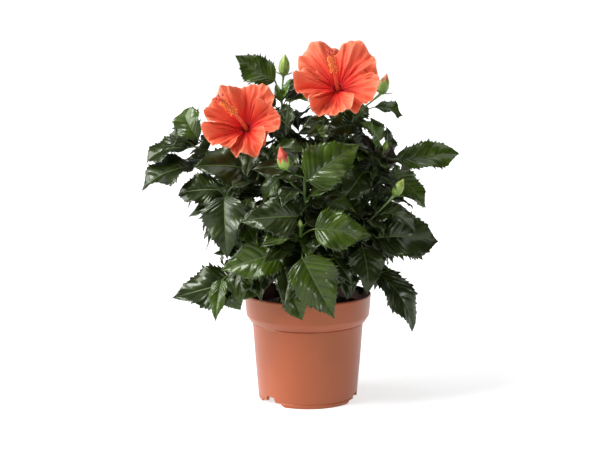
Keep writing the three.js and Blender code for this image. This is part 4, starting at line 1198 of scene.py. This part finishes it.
def leaf_stalk(leaf):
    """The line of a leaf's stalk. It arches out of the stem and runs on under the blade as its midrib."""
    root, base = leaf["root"], leaf["base"]
    reach = np.linalg.norm(base - root)
    curve = Bezier(root, (root + base) / 2 + UP * reach * 0.12, base)
    spots = [curve.at(t) for t in np.linspace(0, 1, 6)]
    radii = [1.35, 0.95, 0.82, 0.78, 0.8, 0.85]
    for u, radius in ((0.12, 0.7), (0.3, 0.55), (0.5, 0.42), (0.7, 0.3), (0.88, 0.16)):
        point, normal = blade_points(leaf, u, 0.0)
        spots.append(point - normal * (LEAF["thick"] + 0.35 * radius))
        radii.append(radius)
    scale = min(1.0, leaf["long"] / 46)
    return spots, [r * scale for r in radii]


print("the stalk of the first leaf has", len(leaf_stalk(leaves[0])[0]), "points")

# %% [markdown]
# ## Finer twigs
# The solids have fewer leaves than the plant. So each shoot also grows a few short side twigs with
# smaller leaves of the same rule. A new leaf stays only if it keeps inside its own CAD node's
# box and crosses nothing. It either hides behind or in front of what the solids already cover, or
# fills the oval middle of the crown, which is dense on the real plant. The windows in it where the
# photograph shows sky stay open, and so does the whole outline outside the oval. A few leaves of the
# solids hide such a window or the front of the pot's rim, and those are left out.

# %% What is in the way of a new leaf
def rough_blade(leaf):
    """A grid of points on a coarse blade, in metres."""
    u, v = np.meshgrid([0.02, 0.2, 0.4, 0.6, 0.8, 0.97], [-1.0, 0.0, 1.0], indexing="ij")
    return blade_points(leaf, u, v, 1.04)[0] * MM


def blade_bvh(leaf):
    """A coarse blade's faces, for tests of what they cross."""
    points = rough_blade(leaf)
    return BVHTree.FromPolygons(points.reshape(-1, 3).tolist(), grid_faces(6, 3).tolist())


def node_bvh(names):
    """One tree for the faces of several CAD nodes."""
    points, faces = [], []
    for name in names:
        mesh = NODES[name].data
        faces.extend([[i + len(points) for i in p.vertices] for p in mesh.polygons])
        points.extend(tuple(v.co) for v in mesh.vertices)
    return BVHTree.FromPolygons(points, faces)


everything = node_bvh(list(NODES))
limbs_pot_and_blooms = node_bvh([n for n in NODES if not n.startswith("leaves_")])
stem_spots = np.array([stems[n].at(t) for n in SHOOTS for t in np.linspace(0.05, 1, 8)]) * MM
print("points along the stems:", len(stem_spots))

# %% The dense oval and its windows, in the upright plane of the crown's front
OVAL = {"plane": -30.0, "x": 0.0, "z": 204.0, "wide": 92.0, "high": 108.0}
# Each window's place across and up, and its radius
WINDOWS = [
    (-7, 303, 7), (4, 291, 4.5), (-1, 269, 7), (63, 287, 14), (60, 306, 9), (-94, 231, 6), (-32, 266, 3),
    (51, 248, 3),
]
EYE_SPOT = np.array(EYE) / MM
# Each window is looked through at its middle and at six places round it
AIMS = [(0, 0)] + [(0.65, i * math.pi / 3) for i in range(6)]
SIGHTS = [
    np.array([x + radius * out * math.cos(a), OVAL["plane"], z + radius * out * math.sin(a)])
    for x, z, radius in WINDOWS for out, a in AIMS
]


def on_the_plane(p):
    """Where a point, in millimetres, falls on the plane of the crown's front, seen from the camera."""
    return EYE_SPOT + (p - EYE_SPOT) * (OVAL["plane"] - EYE_SPOT[1]) / (p[1] - EYE_SPOT[1])


def hides_a_window(tree):
    """True if a blade covers two or more of the sights through any one window."""
    eye = Vector(EYE)
    hit = [tree.ray_cast(eye, (Vector(spot * MM) - eye).normalized(), 3.0)[0] is not None for spot in SIGHTS]
    return any(sum(hit[i : i + len(AIMS)]) >= 2 for i in range(0, len(hit), len(AIMS)))


print("sights:", len(SIGHTS), "through", len(WINDOWS), "windows")

# %% Where a leaf may show
def is_in_the_open(leaf):
    """True if a leaf hides a window or the front of the pot's rim, where no leaf shows."""
    points = rough_blade(leaf).reshape(-1, 3) / MM
    low = points[:, 2].min() < POT["height"] + 5
    over_rim = low and points[:, 1].mean() < 0 and abs(points[:, 0].mean()) < POT["rim"]
    return over_rim or hides_a_window(blade_bvh(leaf))


def fits_the_view(points):
    """True if nearly all of the points lie before or behind the solids, or in the dense oval."""
    seen = 0
    for p in points:
        spot = Vector(p)
        way = (Vector(EYE) - spot).normalized()
        before = everything.ray_cast(spot + way * MM, way, 1.0)[0]
        behind = everything.ray_cast(spot - way * MM, -way, 1.0)[0]
        if before is None and behind is None:
            x, _, z = on_the_plane(p / MM)
            seen += math.hypot((x - OVAL["x"]) / OVAL["wide"], (z - OVAL["z"]) / OVAL["high"]) > 1
    return seen <= 0.05 * len(points)


def has_room(leaf, low, high):
    """True if a new leaf keeps inside a box, crosses nothing and fits the view."""
    points = rough_blade(leaf)
    flat = points.reshape(-1, 3)
    if np.any(flat.min(0) < low) or np.any(flat.max(0) > high) or flat[:, 2].min() < POT["height"] * MM:
        return False
    if not fits_the_view(flat):
        return False
    tree = blade_bvh(leaf)
    if tree.overlap(limbs_pot_and_blooms) or hides_a_window(tree):
        return False
    near = np.min(np.linalg.norm(flat[:, None] - stem_spots[None], axis=2))
    if near < STEM["clear"] * MM:
        return False
    a, b = flat.min(0), flat.max(0)
    for other, other_tree in placed:
        spots = other.reshape(-1, 3)
        if np.all(a < spots.max(0)) and np.all(b > spots.min(0)) and tree.overlap(other_tree):
            return False
    return True


print("a new leaf stays", STEM["clear"], "mm clear of the middle of a stem")

# %% Grow the side twigs and their leaves
TWIG = {
    "count": 9, "on_bough": 0.35, "shortest": 10.0, "longest": 28.0, "radii": np.linspace(1.3, 0.8, 6),
    "leaves": 3, "tries": 14, "small": 0.55, "large": 0.95, "stalk_share": 0.26,
}
twigs = []


def add_leaf(leaf, name, shade, seed):
    """Takes a leaf of a finer twig on, and keeps its coarse blade for the tests of the next ones."""
    leaf.update(shoot=name, shown=False, shade=shade, seed=seed)
    leaves.append(leaf)
    placed.append((rough_blade(leaf), blade_bvh(leaf)))


def grow_twigs(name):
    """Grows a shoot's side twigs. A twig ends at its last leaf that finds room."""
    s = SHOOTS[name]
    draw = seeded(s["seed"] * 1000 + 900)
    low, high = (np.array(corner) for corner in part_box("leaves_" + name))
    outward = math.degrees(math.atan2(s["tip"][1], s["tip"][0]))
    for j in range(TWIG["count"]):
        share = (j + 0.3 + 0.4 * draw()) / TWIG["count"]
        on_bough = share < TWIG["on_bough"]
        limb = boughs[name] if on_bough else stems[name]
        root = limb.at(0.55 + share if on_bough else (share - TWIG["on_bough"]) / (1 - TWIG["on_bough"]))
        way = pointing(outward + DIVERGENCE * j + 40 * draw(), 10 + 35 * draw())
        long = TWIG["shortest"] + (TWIG["longest"] - TWIG["shortest"]) * draw()
        twig = Bezier(root, root + way * long * 0.5, root + way * long * 0.9 + UP * long * 0.25)
        furthest = 0.0
        for index in range(TWIG["leaves"]):
            t = (index + 1) / TWIG["leaves"]
            for _ in range(TWIG["tries"]):
                bearing, pitch = 360 * draw(), -70 + 75 * draw()
                size = s["blade"] * (TWIG["small"] + (TWIG["large"] - TWIG["small"]) * draw())
                foot = twig.at(t)
                base = foot + pointing(bearing, min(60, pitch + 45)) * size * TWIG["stalk_share"]
                leaf = place_leaf(foot, base, base + pointing(bearing, pitch) * size, 0.1, 26 + 30 * draw())
                if has_room(leaf, low, high):
                    add_leaf(leaf, name, None, s["seed"] * 100 + 200 + 10 * j + index)
                    furthest = t
                    break
        if furthest:
            twigs.append(line_along(twig, TWIG["radii"], end=furthest))


def nearest_limb_spot(name, base):
    """The point of a shoot's bough or stem that is nearest to the foot of a blade."""
    spots = [limb.at(t) for limb in (boughs[name], stems[name]) for t in np.linspace(0.1, 1, 19)]
    return min(spots, key=lambda spot: np.linalg.norm(spot - base))


found = len(leaves)
leaves = [leaf for leaf in leaves if leaf["shown"] or not is_in_the_open(leaf)]
placed = [(rough_blade(leaf), blade_bvh(leaf)) for leaf in leaves]
solid_leaves = len(leaves)
print("leaves left out where the photograph shows none:", found - solid_leaves)
for name, small in SMALL_LEAVES.items():
    for index, s in enumerate(small):
        base, tip = np.array(s["base"], float), np.array(s["tip"], float)
        root = nearest_limb_spot(name, base)
        leaf = place_leaf(root, base, tip, s["front"], s["bend"], s["wide"], s["belly"])
        add_leaf(leaf, name, s["shade"], SHOOTS[name]["seed"] * 100 + 400 + index)
for name in SHOOTS:
    grow_twigs(name)
print("leaves added on finer twigs:", len(leaves) - solid_leaves, "on", len(twigs), "twigs")

# %% Make the foliage of each shoot one piece
for name in SHOOTS:
    heap = Heap()
    for leaf in leaves:
        if leaf["shoot"] == name:
            add_blade(heap, leaf)
    hand_in(piece("foliage_" + name, heap, LEAF_FINISHES), "leaf", "leaves_" + name)

lines = [leaf_stalk(leaf) for leaf in leaves]
leaf_stalks = stalks("leaf_stalks", lines, LEAF_FINISHES[MIDRIB])
hand_in(leaf_stalks, "leaf")

lines = list(twigs)
shares = np.linspace(-0.02, 1, 16)
for stem in stems.values():
    lines.append(([stem.at(t) for t in shares], STEM["radius"] + (STEM["tip"] - STEM["radius"]) * shares))
green_stems = stalks("green_stems", lines, STEM_FINISH, sides=10)
hand_in(green_stems, "leaf")

# %% [markdown]
# ## Buds
# A hibiscus bud is a pointed spindle of furled petals in a green cup with five teeth, on a star of
# narrow bracts. The cup is a grid round the axis whose upper edge rises and falls five times, and the
# furled petals are a second grid inside it that twists a little on its way up.

# %% Finishes and shapes of buds
def matt_green(name, colour, roughness, low, high, scale):
    """The green of buds and cups, with a fine grain."""
    material = mottle(finish_of(name, colour, roughness), [(0.3, low), (0.7, high)], scale)
    return grain(material, 900.0, 0.1, 0.0003)


def bud_petals(tint, colour, low, high):
    """The finish of a bud's closed petals."""
    return mottle(finish_of("bud_petals_" + tint, colour, 0.5), [(0.35, low), (0.65, high)], 160.0)


BUD_GREEN = matt_green("bud_green", "70883a", 0.45, "5c7a2c", "8aa048", 90.0)
BUD_TINTS = {
    "red": bud_petals("red", "b83c34", "8c2020", "c85a44"),
    "tipped": bud_petals("tipped", "a4503a", "8c3c2c", "b06a44"),
    "yellow": bud_petals("yellow", "8c9a3c", "7a8a34", "a0a84c"),
    "green": bud_petals("green", "74903c", "668434", "84a04c"),
}
BUD_HEIGHTS = (0.0, 0.12, 0.35, 0.62, 0.85, 1.0)
BUD_RADII = (0.1, 0.2, 0.255, 0.22, 0.11, 0.012)
BUD_STALK_RADII = (1.0, 0.9, 0.85, 0.85, 0.9, 1.0, 1.3, 1.7)
# How far up the green cup of each kind of bud covers it
CUP_SHARE = {"red": 0.3, "tipped": 0.52, "yellow": 0.62, "green": 0.6}


def spindle(h):
    """A bud's radius at a share of its height, both as shares of its length."""
    return np.interp(h, BUD_HEIGHTS, BUD_RADII)


def revolve(heap, foot, axis, height_at, radius_at, rows, sides):
    """A surface round an axis. height_at(share, angle) and radius_at(height, angle) shape it."""
    across, over = axes_round(axis)
    turn = np.arange(sides) * 2 * math.pi / sides
    rings = []
    for share in np.linspace(0, 1, rows):
        h = height_at(share, turn)
        r = radius_at(h, turn)
        ring = foot + np.outer(h, axis)
        rings.append(ring + np.outer(r * np.cos(turn), across) + np.outer(r * np.sin(turn), over))
    add_loft(heap, rings)


def bracts(foot, axis, count, long, lift, radius, seed):
    """Narrow pointed bracts in a star, as lines with a thickness. Each curves up by its own amount."""
    draw = seeded(seed)
    across, over = axes_round(axis)
    lines = []
    for i in range(count):
        a = 2 * math.pi * (i + 0.5 + 0.3 * (draw() - 0.5)) / count
        out = across * math.cos(a) + over * math.sin(a)
        far = foot + out * long * (0.85 + 0.3 * draw()) + axis * lift * (0.5 + 1.0 * draw())
        curve = Bezier(foot, foot + out * long * 0.55, far)
        lines.append(line_along(curve, [radius * w for w in (1, 1, 0.9, 0.7, 0.45, 0.1)]))
    return lines


print("a bud is widest at", max(BUD_RADII), "of its length")

# %% Make the buds
def add_furled_petals(heap, foot, axis, long):
    """The spindle of closed petals. Its five folds twist a little on their way up."""
    def height_at(share, a):
        return long * (0.12 + 0.88 * share) + 0 * a

    def radius_at(h, a):
        return long * spindle(h / long) * (0.93 + 0.07 * np.cos(5 * a + 7 * h / long))

    revolve(heap, foot, axis, height_at, radius_at, rows=22, sides=30)


def add_bud_cup(heap, foot, axis, long, covered):
    """The green cup round a bud's foot, whose edge rises to five teeth."""
    def height_at(share, a):
        return long * share * (covered + 0.24 * np.abs(np.cos(2.5 * a)) ** 2)

    def radius_at(h, a):
        return long * spindle(h / long) * (1.03 + 0.035 * np.cos(10 * a)) + 0.12

    revolve(heap, foot, axis, height_at, radius_at, rows=12, sides=40)


heaps = {tint: Heap() for tint in BUD_TINTS}
cups = Heap()
bud_lines = []
for name, s in SHOOTS.items():
    for b in s["buds"]:
        root, long = stems[name].tip, b["long"]
        foot, bend = root + np.array(b["foot"], float), root + np.array(b["bend"], float)
        axis = unit(np.array(b["lean"], float))
        bud_lines.append(line_along(Bezier(root, bend, foot + axis), BUD_STALK_RADII))
        bud_lines += bracts(foot + axis * 1.2, axis, 8, long * 0.5, long * 0.22, 0.5, s["seed"])
        add_furled_petals(heaps[b["tint"]], foot, axis, long)
        add_bud_cup(cups, foot, axis, long, CUP_SHARE[b["tint"]])
for tint, heap in heaps.items():
    hand_in(piece("furled_petals_" + tint, heap, [BUD_TINTS[tint]]), "petal")
hand_in(piece("bud_cups", cups, [BUD_GREEN]), "leaf")
hand_in(stalks("bud_stalks", bud_lines, STEM_FINISH), "leaf")

# %% [markdown]
# ## The open blooms
# Five thin petals open from a narrow throat, each over its neighbour on one side. They have fine ribs
# that fan out, a frilled rim and a colour that deepens to dark red in the throat. The petal rule of
# the CAD source gives the shape, and finer frills and ribs are added to it. The colour follows two
# attributes that are stored on the mesh: how far out a point is, and how high it stands on a rib.
# The second paints shade and light: darker red in the hollows of the folds, paler on their ridges,
# and its fine streaks are partly the petal's own veins.

# %% Sizes of the blooms
BLOOMS = {
    "bloom_right": {
        "on": "top_right", "at": 0.8, "throat": (29, -36, 318), "faces": (-0.12, -0.83, 0.54), "spin": 50,
        "radius": 44, "reach": (1.1, 1.2, 0.96, 1, 1), "bend": (-4, 12), "seed": 528, "folds": 460,
    },
    "bloom_left": {
        "on": "top_left", "at": 0.9, "throat": (-60, -50, 280), "faces": (-0.17, -0.84, 0.5), "spin": 2,
        "radius": 41, "reach": (0.92, 1.08, 1.04, 1, 0.96), "bend": (-17, 9), "seed": 210, "folds": 352,
    },
}
PETAL = {
    "count": 5, "throat": 3.0, "rise": 21.0, "recurve": 5.0, "thick": 0.4,
    "root_spread": 36.0, "spread": 48.0, "round": 0.34, "overlap": 5.6, "ruffle": 4.0, "tilt": 7.0,
    "flute": 4.2, "frill": 3.2, "crinkle": 1.4,
    "rows": 44, "columns": 96,
}
# The funnel's outline, as radii and heights, up its inside and down its outside
THROAT = [(2.6, -3.6), (3.6, -1.6), (4.6, 0.6), (6.2, 3.2), (5.9, 3.4), (4.2, 0.9), (3.2, -1.4), (2.1, -3.2)]
COLUMN = {"long": 46.0, "radius": 2.1, "tip": 1.5, "stigmas": 9, "pad_radius": 0.85, "pad_half": 0.8}
CALYX = {
    "long": 22.0, "heights": (0, 0.25, 0.6, 1.0), "radii": (2.0, 5.4, 6.6, 4.4), "bracts": 8, "bract": 13.0,
}

for bloom in BLOOMS.values():
    bloom["throat"] = np.array(bloom["throat"], float)
    bloom["axis"] = unit(np.array(bloom["faces"], float))
    bloom["over"] = square(UP, bloom["axis"])
    bloom["right"] = np.cross(bloom["over"], bloom["axis"])
print("blooms:", {name: 2 * bloom["radius"] for name, bloom in BLOOMS.items()}, "mm across")

# %% The petal finish
def petal_finish():
    """Coral that deepens towards the throat, with painted shade in the folds' hollows and a painted
    highlight on their ridges, as the two attributes say.
    """
    material = finish_of("coral_petal", "d75b36", 0.6, Specular_IOR_Level=0.2, Subsurface_Weight=0.25,
                         Subsurface_Radius=(1.0, 0.35, 0.2), Subsurface_Scale=0.003)
    tree = material.node_tree
    far = add_node(tree, "ShaderNodeAttribute", attribute_name="far_out").outputs["Fac"]
    rib = add_node(tree, "ShaderNodeAttribute", attribute_name="rib").outputs["Fac"]
    # The smooth ramp paints the ridges paler, a painted highlight, and the deep one paints the hollows
    # darker, a painted shade
    smooth = ramp_of(tree, far, [(0.0, "8c0c12"), (0.1, "b81818"), (0.24, "cc3424"), (0.44, "d0543a"),
                                 (0.88, "d0684a"), (1.0, "d88264")])
    deep = ramp_of(tree, far, [(0.0, "84080e"), (0.14, "b81016"), (0.36, "cc2620"), (0.66, "d04028"),
                               (0.9, "d05034"), (1.0, "d86c4e")])
    mix = add_node(tree, "ShaderNodeMix", data_type="RGBA")
    tree.links.new(rib, mix.inputs["Factor"])
    colours = [s for s in mix.inputs if s.type == "RGBA"]
    tree.links.new(deep, colours[0])
    tree.links.new(smooth, colours[1])
    result = [s for s in mix.outputs if s.type == "RGBA"][0]
    tree.links.new(result, tree.nodes["Principled BSDF"].inputs["Base Color"])
    return grain(material, 1400.0, 0.08, 0.0002)


PETAL_FINISH = petal_finish()
print("petal finish nodes:", len(PETAL_FINISH.node_tree.nodes))

# %% The shape of a petal
def petal_points(bloom, index, u, v):
    """Points of a petal at shares u of the way out and v across it, and how high each rib and fold stands,
    which sets the painted shade of its colour.
    """
    draw = seeded(bloom["seed"] * 100 + index)
    tilt, phase = draw() - 0.5, 2 * math.pi * draw()
    draw = seeded(bloom["folds"] * 100 + index)
    second, third = 2 * math.pi * draw(), 2 * math.pi * draw()
    spread = PETAL["root_spread"] + (PETAL["spread"] - PETAL["root_spread"]) * np.sqrt(u)
    angle = np.radians(bloom["spin"] + 360 / PETAL["count"] * index + spread * v)
    reach = bloom["radius"] * bloom["reach"][index] * (1 - PETAL["round"] * np.abs(v) ** 2.5)
    scallop = 0.035 * np.sin(4.3 * v + second) + 0.014 * np.sin(10.7 * v + third)
    scallop = scallop + 0.006 * np.sin(27 * v + second)
    reach = reach * (1 + (scallop - 0.045) * u**4)
    radius = PETAL["throat"] + (reach - PETAL["throat"]) * u
    ruffle, flute = np.sin(2.5 * math.pi * v + phase), np.sin(4.9 * v + second + 0.8 * u)
    height = PETAL["rise"] * u**0.8 - PETAL["recurve"] * u**4
    height = height + PETAL["overlap"] * v * u + 2 * PETAL["tilt"] * tilt * u * u
    height = height + PETAL["ruffle"] * u * u * ruffle + PETAL["flute"] * u**1.6 * flute
    frills = np.sin(11 * v + third + 2 * u) + 0.5 * np.sin(18.3 * v + second)
    height = height + PETAL["frill"] * u**4 * frills
    folds = np.sin(17 * v + 3.5 * u + second)
    folds = folds + 0.8 * np.sin(29 * v - 5 * u + third) * np.sin(6 * u + 4 * v + second)
    folds = folds + 0.5 * np.sin(13 * u + 8 * v + third) * np.sin(11 * v + second)
    height = height + PETAL["crinkle"] * u**0.9 * folds
    streaks = np.sin(2 * math.pi * 9.5 * v + 1.2 * np.sin(3 * v + 4 * u) + 0.8 * np.sin(9 * u + 5 * v))
    # How high a point stands on the flutes, ruffles, folds and streaks sets its colour: painted shade in the
    # hollows, a painted highlight on the ridges; the fine streaks are partly the petal's own veins
    rib = np.clip(0.52 + 0.17 * flute + 0.13 * ruffle + 0.17 * folds + 0.12 * streaks, 0, 1)
    height = height + 0.3 * u * (1 - 0.5 * u) * streaks
    points = (
        bloom["throat"] + (radius * np.cos(angle))[..., None] * bloom["right"]
        + (radius * np.sin(angle))[..., None] * bloom["over"] + height[..., None] * bloom["axis"]
    )
    return points, rib


rim, _ = petal_points(BLOOMS["bloom_right"], 0, np.array([1.0]), np.array([0.0]))
print("the middle of the right bloom's first rim is at", rim[0].round(1), "mm")

# %% Make the petals
def grid_normals(points, towards):
    """The directions square to a grid's surface, on the side of towards."""
    down, across = np.gradient(points, axis=0), np.gradient(points, axis=1)
    normal = np.cross(down, across)
    normal /= np.linalg.norm(normal, axis=2, keepdims=True)
    flip = np.sign(np.sum(normal * towards, axis=2, keepdims=True))
    return normal * np.where(flip == 0, 1, flip)


def add_throat(heap, bloom):
    """The funnel at the petals' feet."""
    across, over = axes_round(bloom["axis"])
    turn = np.arange(40) * 2 * math.pi / 40
    ring = np.outer(np.cos(turn), across) + np.outer(np.sin(turn), over)
    add_loft(heap, [bloom["throat"] + ring * r + bloom["axis"] * h for r, h in THROAT])


def make_petals(name, bloom):
    """A bloom's petals and throat as one piece, with the two attributes that its colour follows."""
    heap, far_out, fold_shading = Heap(), [], []
    u, v = np.meshgrid(
        np.linspace(0.02, 1, PETAL["rows"]), np.linspace(1, -1, PETAL["columns"]), indexing="ij"
    )
    count = (PETAL["rows"] - 1) * (PETAL["columns"] - 1)
    for index in range(PETAL["count"]):
        top, rib = petal_points(bloom, index, u, v)
        top = kept_inside(top)
        normal = grid_normals(top, bloom["axis"])
        add_sheet(heap, top, normal, np.full(u.shape, PETAL["thick"]), [0] * count, 0, 0)
        far_out += [u.ravel()] * 2
        fold_shading += [rib.ravel()] * 2
    before = heap.count
    add_throat(heap, bloom)
    far_out.append(np.full(heap.count - before, 0.03))
    fold_shading.append(np.full(heap.count - before, 0.5))
    obj = piece("petals_of_" + name, heap, [PETAL_FINISH])
    # The rib attribute carries the painted shade and highlight of the folds
    for label, values in (("far_out", far_out), ("rib", fold_shading)):
        data = obj.data.attributes.new(label, "FLOAT", "POINT").data
        data.foreach_set("value", np.concatenate(values).astype(np.float32))
    return obj


for name, bloom in BLOOMS.items():
    hand_in(make_petals(name, bloom), "petal", name)

# %% [markdown]
# ## Columns, stamens and cups
# Out of the throat stands one long column. Its upper half carries a brush of short threads, each with
# a head of pollen, set round it in a spiral, so a node tree places them: Curve to Points along the
# column, a turn of 137.5 degrees for each, and one thread with its head copied to every place. At its
# tip the stigmas spread on arms of two lengths, with a dark red pad on each.

# %% One thread and its head of pollen
THREAD = {"radius": 0.18, "lean": 1.25, "lift": 0.8, "head_lift": 1.5}


def thread_shape(tree, ins):
    """One thread that leans away from the column."""
    rod = add_node(
        tree, "GeometryNodeMeshCylinder",
        [("Vertices", 5), ("Radius", THREAD["radius"] * MM), ("Depth", ins.outputs["Thread"])],
    )
    half = add_node(tree, "ShaderNodeMath", [(0, ins.outputs["Thread"]), (1, 0.5)], operation="MULTIPLY")
    out = add_node(tree, "ShaderNodeCombineXYZ", [("X", half.outputs["Value"]), ("Z", THREAD["lift"] * MM)])
    laid = add_node(
        tree, "GeometryNodeTransform",
        [("Geometry", rod.outputs["Mesh"]), ("Translation", out.outputs["Vector"]),
         ("Rotation", (0, THREAD["lean"], 0))],
    )
    return painted(tree, laid.outputs[0], ins.outputs["Thread finish"])


def head_shape(tree, ins):
    """The head of pollen at the end of a thread."""
    ball = add_node(
        tree, "GeometryNodeMeshUVSphere", [("Segments", 10), ("Rings", 6), ("Radius", ins.outputs["Head"])]
    )
    out = add_node(
        tree, "ShaderNodeCombineXYZ", [("X", ins.outputs["Thread"]), ("Z", THREAD["head_lift"] * MM)]
    )
    moved = add_node(
        tree, "GeometryNodeTransform",
        [("Geometry", ball.outputs["Mesh"]), ("Translation", out.outputs["Vector"]),
         ("Scale", (0.8, 1.15, 1.0))],
    )
    return painted(tree, moved.outputs[0], ins.outputs["Head finish"])


lean = round(math.degrees(THREAD["lean"]))
print("threads:", 2 * THREAD["radius"], "mm thick, leaning out by", lean, "degrees")

# %% A tree that sets threads and heads round a column
def stamen_tree():
    """Threads with their heads along a line, each turned from the one before."""
    tree, ins, outs = new_tree(
        "stamens_round_column",
        [("Count", "NodeSocketInt", 84), ("Thread", "NodeSocketFloat", 3.2 * MM),
         ("Head", "NodeSocketFloat", 0.66 * MM), ("Turn", "NodeSocketFloat", math.radians(DIVERGENCE)),
         ("Thread finish", "NodeSocketMaterial", None), ("Head finish", "NodeSocketMaterial", None)],
    )
    line = add_node(tree, "GeometryNodeMeshToCurve", [("Mesh", ins.outputs["Geometry"])])
    spots = add_node(
        tree, "GeometryNodeCurveToPoints",
        [("Curve", line.outputs["Curve"]), ("Count", ins.outputs["Count"])], mode="COUNT",
    )
    index = add_node(tree, "GeometryNodeInputIndex")
    turn = add_node(
        tree, "ShaderNodeMath", [(0, index.outputs["Index"]), (1, ins.outputs["Turn"])], operation="MULTIPLY"
    )
    angle = add_node(tree, "ShaderNodeCombineXYZ", [("Z", turn.outputs["Value"])])
    euler = add_node(tree, "FunctionNodeEulerToRotation", [(0, angle.outputs["Vector"])])
    facing = add_node(
        tree, "FunctionNodeRotateRotation",
        [("Rotation", spots.outputs["Rotation"]), ("Rotate By", euler.outputs["Rotation"])],
        rotation_space="LOCAL",
    )
    both = add_node(tree, "GeometryNodeJoinGeometry")
    tree.links.new(thread_shape(tree, ins), both.inputs[0])
    tree.links.new(head_shape(tree, ins), both.inputs[0])
    size = add_node(
        tree, "FunctionNodeRandomValue", [("Min", 0.7), ("Max", 1.2), ("Seed", 3)], data_type="FLOAT"
    )
    put = add_node(
        tree, "GeometryNodeInstanceOnPoints",
        [("Points", spots.outputs["Points"]), ("Instance", both.outputs[0]),
         ("Rotation", facing.outputs["Rotation"]), ("Scale", size.outputs[1])],
    )
    real = add_node(tree, "GeometryNodeRealizeInstances", [("Geometry", put.outputs["Instances"])])
    soft = add_node(tree, "GeometryNodeSetShadeSmooth", [("Geometry", real.outputs[0])])
    tree.links.new(soft.outputs[0], outs.inputs["Geometry"])
    return tree


STAMENS = stamen_tree()
print("stamen tree nodes:", len(STAMENS.nodes))

# %% The finishes of columns, pollen, stigmas and cups
COLUMN_FINISH = mottle(finish_of("column", "cc4c30", 0.6), [(0.3, "c03c26"), (0.7, "d6603c")], 160.0)
POLLEN_FINISH = mottle(finish_of("pollen", "e08030", 0.8), [(0.4, "dc6c2c"), (0.6, "e8963c")], 400.0)
STIGMA_FINISH = finish_of("stigma_pads", "8c1a10", 0.6)
CUP_FINISH = matt_green("calyx", "5f8436", 0.5, "54782e", "7a9a48", 80.0)
print("finishes:", [m.name for m in (COLUMN_FINISH, POLLEN_FINISH, STIGMA_FINISH, CUP_FINISH)])

# %% The parts of a column and the cup behind the petals
def column_curve(bloom):
    """The line of a column, from the throat past its own bend."""
    foot = bloom["throat"] - bloom["axis"] * 3
    aside, up = bloom["bend"]
    tip = foot + bloom["axis"] * COLUMN["long"] + bloom["right"] * aside + bloom["over"] * up
    return Bezier(foot, foot + bloom["axis"] * COLUMN["long"] * 0.6, tip)


def make_stamens(name, curve):
    """The brush of stamens round the upper half of a column, by the node tree."""
    mesh = bpy.data.meshes.new(name + "_upper_column")
    spots = [tuple(curve.at(t) * MM) for t in np.linspace(0.56, 0.94, 20)]
    mesh.from_pydata(spots, [(i, i + 1) for i in range(len(spots) - 1)], [])
    source = bpy.data.objects.new(name + "_upper_column", mesh)
    bpy.context.scene.collection.objects.link(source)
    finishes = {"Thread finish": COLUMN_FINISH, "Head finish": POLLEN_FINISH}
    return run_tree(source, STAMENS, "stamens_of_" + name, **finishes)


def pad_height(share, a):
    """The height along a pad's axis, counted from its middle."""
    return COLUMN["pad_half"] * (2 * share - 1) + 0 * a


def pad_radius(h, a):
    """A pad is a little ball, slightly flattened."""
    return COLUMN["pad_radius"] * np.sqrt(np.clip(1 - (h / COLUMN["pad_half"]) ** 2, 0.0004, 1))


def add_stigmas(lines, pads, curve):
    """Stigmas on a column's tip: arms of two lengths in turn, each with a round pad on its end."""
    tip, along = curve.at(1.0), curve.along(1.0)
    across, over = axes_round(along)
    for i in range(COLUMN["stigmas"]):
        a = 2 * math.pi * i / COLUMN["stigmas"]
        out = across * math.cos(a) + over * math.sin(a)
        far = tip + out * (5.2 - 2.4 * (i % 2)) + along * (1.6 + 2.0 * (i % 2))
        arm = Bezier(tip - along, tip + along * 2.2 + out * 0.8, far)
        lines.append(line_along(arm, (0.5, 0.45, 0.4, 0.38, 0.4, 0.45)))
        revolve(pads, far, unit(out + along), pad_height, pad_radius, rows=9, sides=12)


def add_calyx_cup(heap, foot, axis):
    """The green cup behind the petals, whose edge rises to five teeth."""
    deep = CALYX["long"] - 0.5

    def height_at(share, a):
        return deep * share * (0.66 + 0.26 * np.abs(np.cos(2.5 * a)) ** 1.6)

    def radius_at(h, a):
        return np.interp(h / deep, CALYX["heights"], CALYX["radii"]) * (1 + 0.03 * np.cos(10 * a))

    revolve(heap, foot, axis, height_at, radius_at, rows=16, sides=50)


print("column tips, in mm:", [column_curve(bloom).tip.round(1).tolist() for bloom in BLOOMS.values()])

# %% Make the columns, stamens, stigmas and cups
column_lines, stigma_lines, calyx_lines = [], [], []
pads, cups = Heap(), Heap()
for name, bloom in BLOOMS.items():
    axis, curve = bloom["axis"], column_curve(bloom)
    column_lines.append(line_along(curve, np.linspace(COLUMN["radius"], COLUMN["tip"], 24)))
    hand_in(make_stamens(name, curve), "petal")
    add_stigmas(stigma_lines, pads, curve)
    foot = bloom["throat"] - axis * CALYX["long"]
    add_calyx_cup(cups, foot, axis)
    calyx_lines += bracts(foot + axis * 2, axis, CALYX["bracts"], CALYX["bract"], 4.0, 0.7, bloom["seed"])
    root = stems[bloom["on"]].at(bloom["at"])
    stalk = Bezier(root, foot - axis * np.linalg.norm(root - foot) * 0.45, foot + axis * 2)
    calyx_lines.append(line_along(stalk, np.linspace(1.3, 1.6, 14)))
hand_in(stalks("columns", column_lines, COLUMN_FINISH, sides=14), "petal")
hand_in(stalks("stigma_arms", stigma_lines, COLUMN_FINISH), "petal")
hand_in(piece("stigma_pads", pads, [STIGMA_FINISH]), "petal")
hand_in(piece("calyx_cups", cups, [CUP_FINISH]), "leaf")
hand_in(stalks("calyx_stalks_and_bracts", calyx_lines, CUP_FINISH, sides=8), "leaf")

# %% [markdown]
# ## The size of what shows
# Blender must not change the part's size, so the box of what shows is printed beside the CAD box.

# %% Print the box of what shows beside the CAD box
bpy.context.view_layer.update()
shown_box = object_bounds()
for label, box in (("CAD box", CAD_BOX), ("shown box", shown_box)):
    print(label, [[round(x, 4) for x in corner] for corner in box])
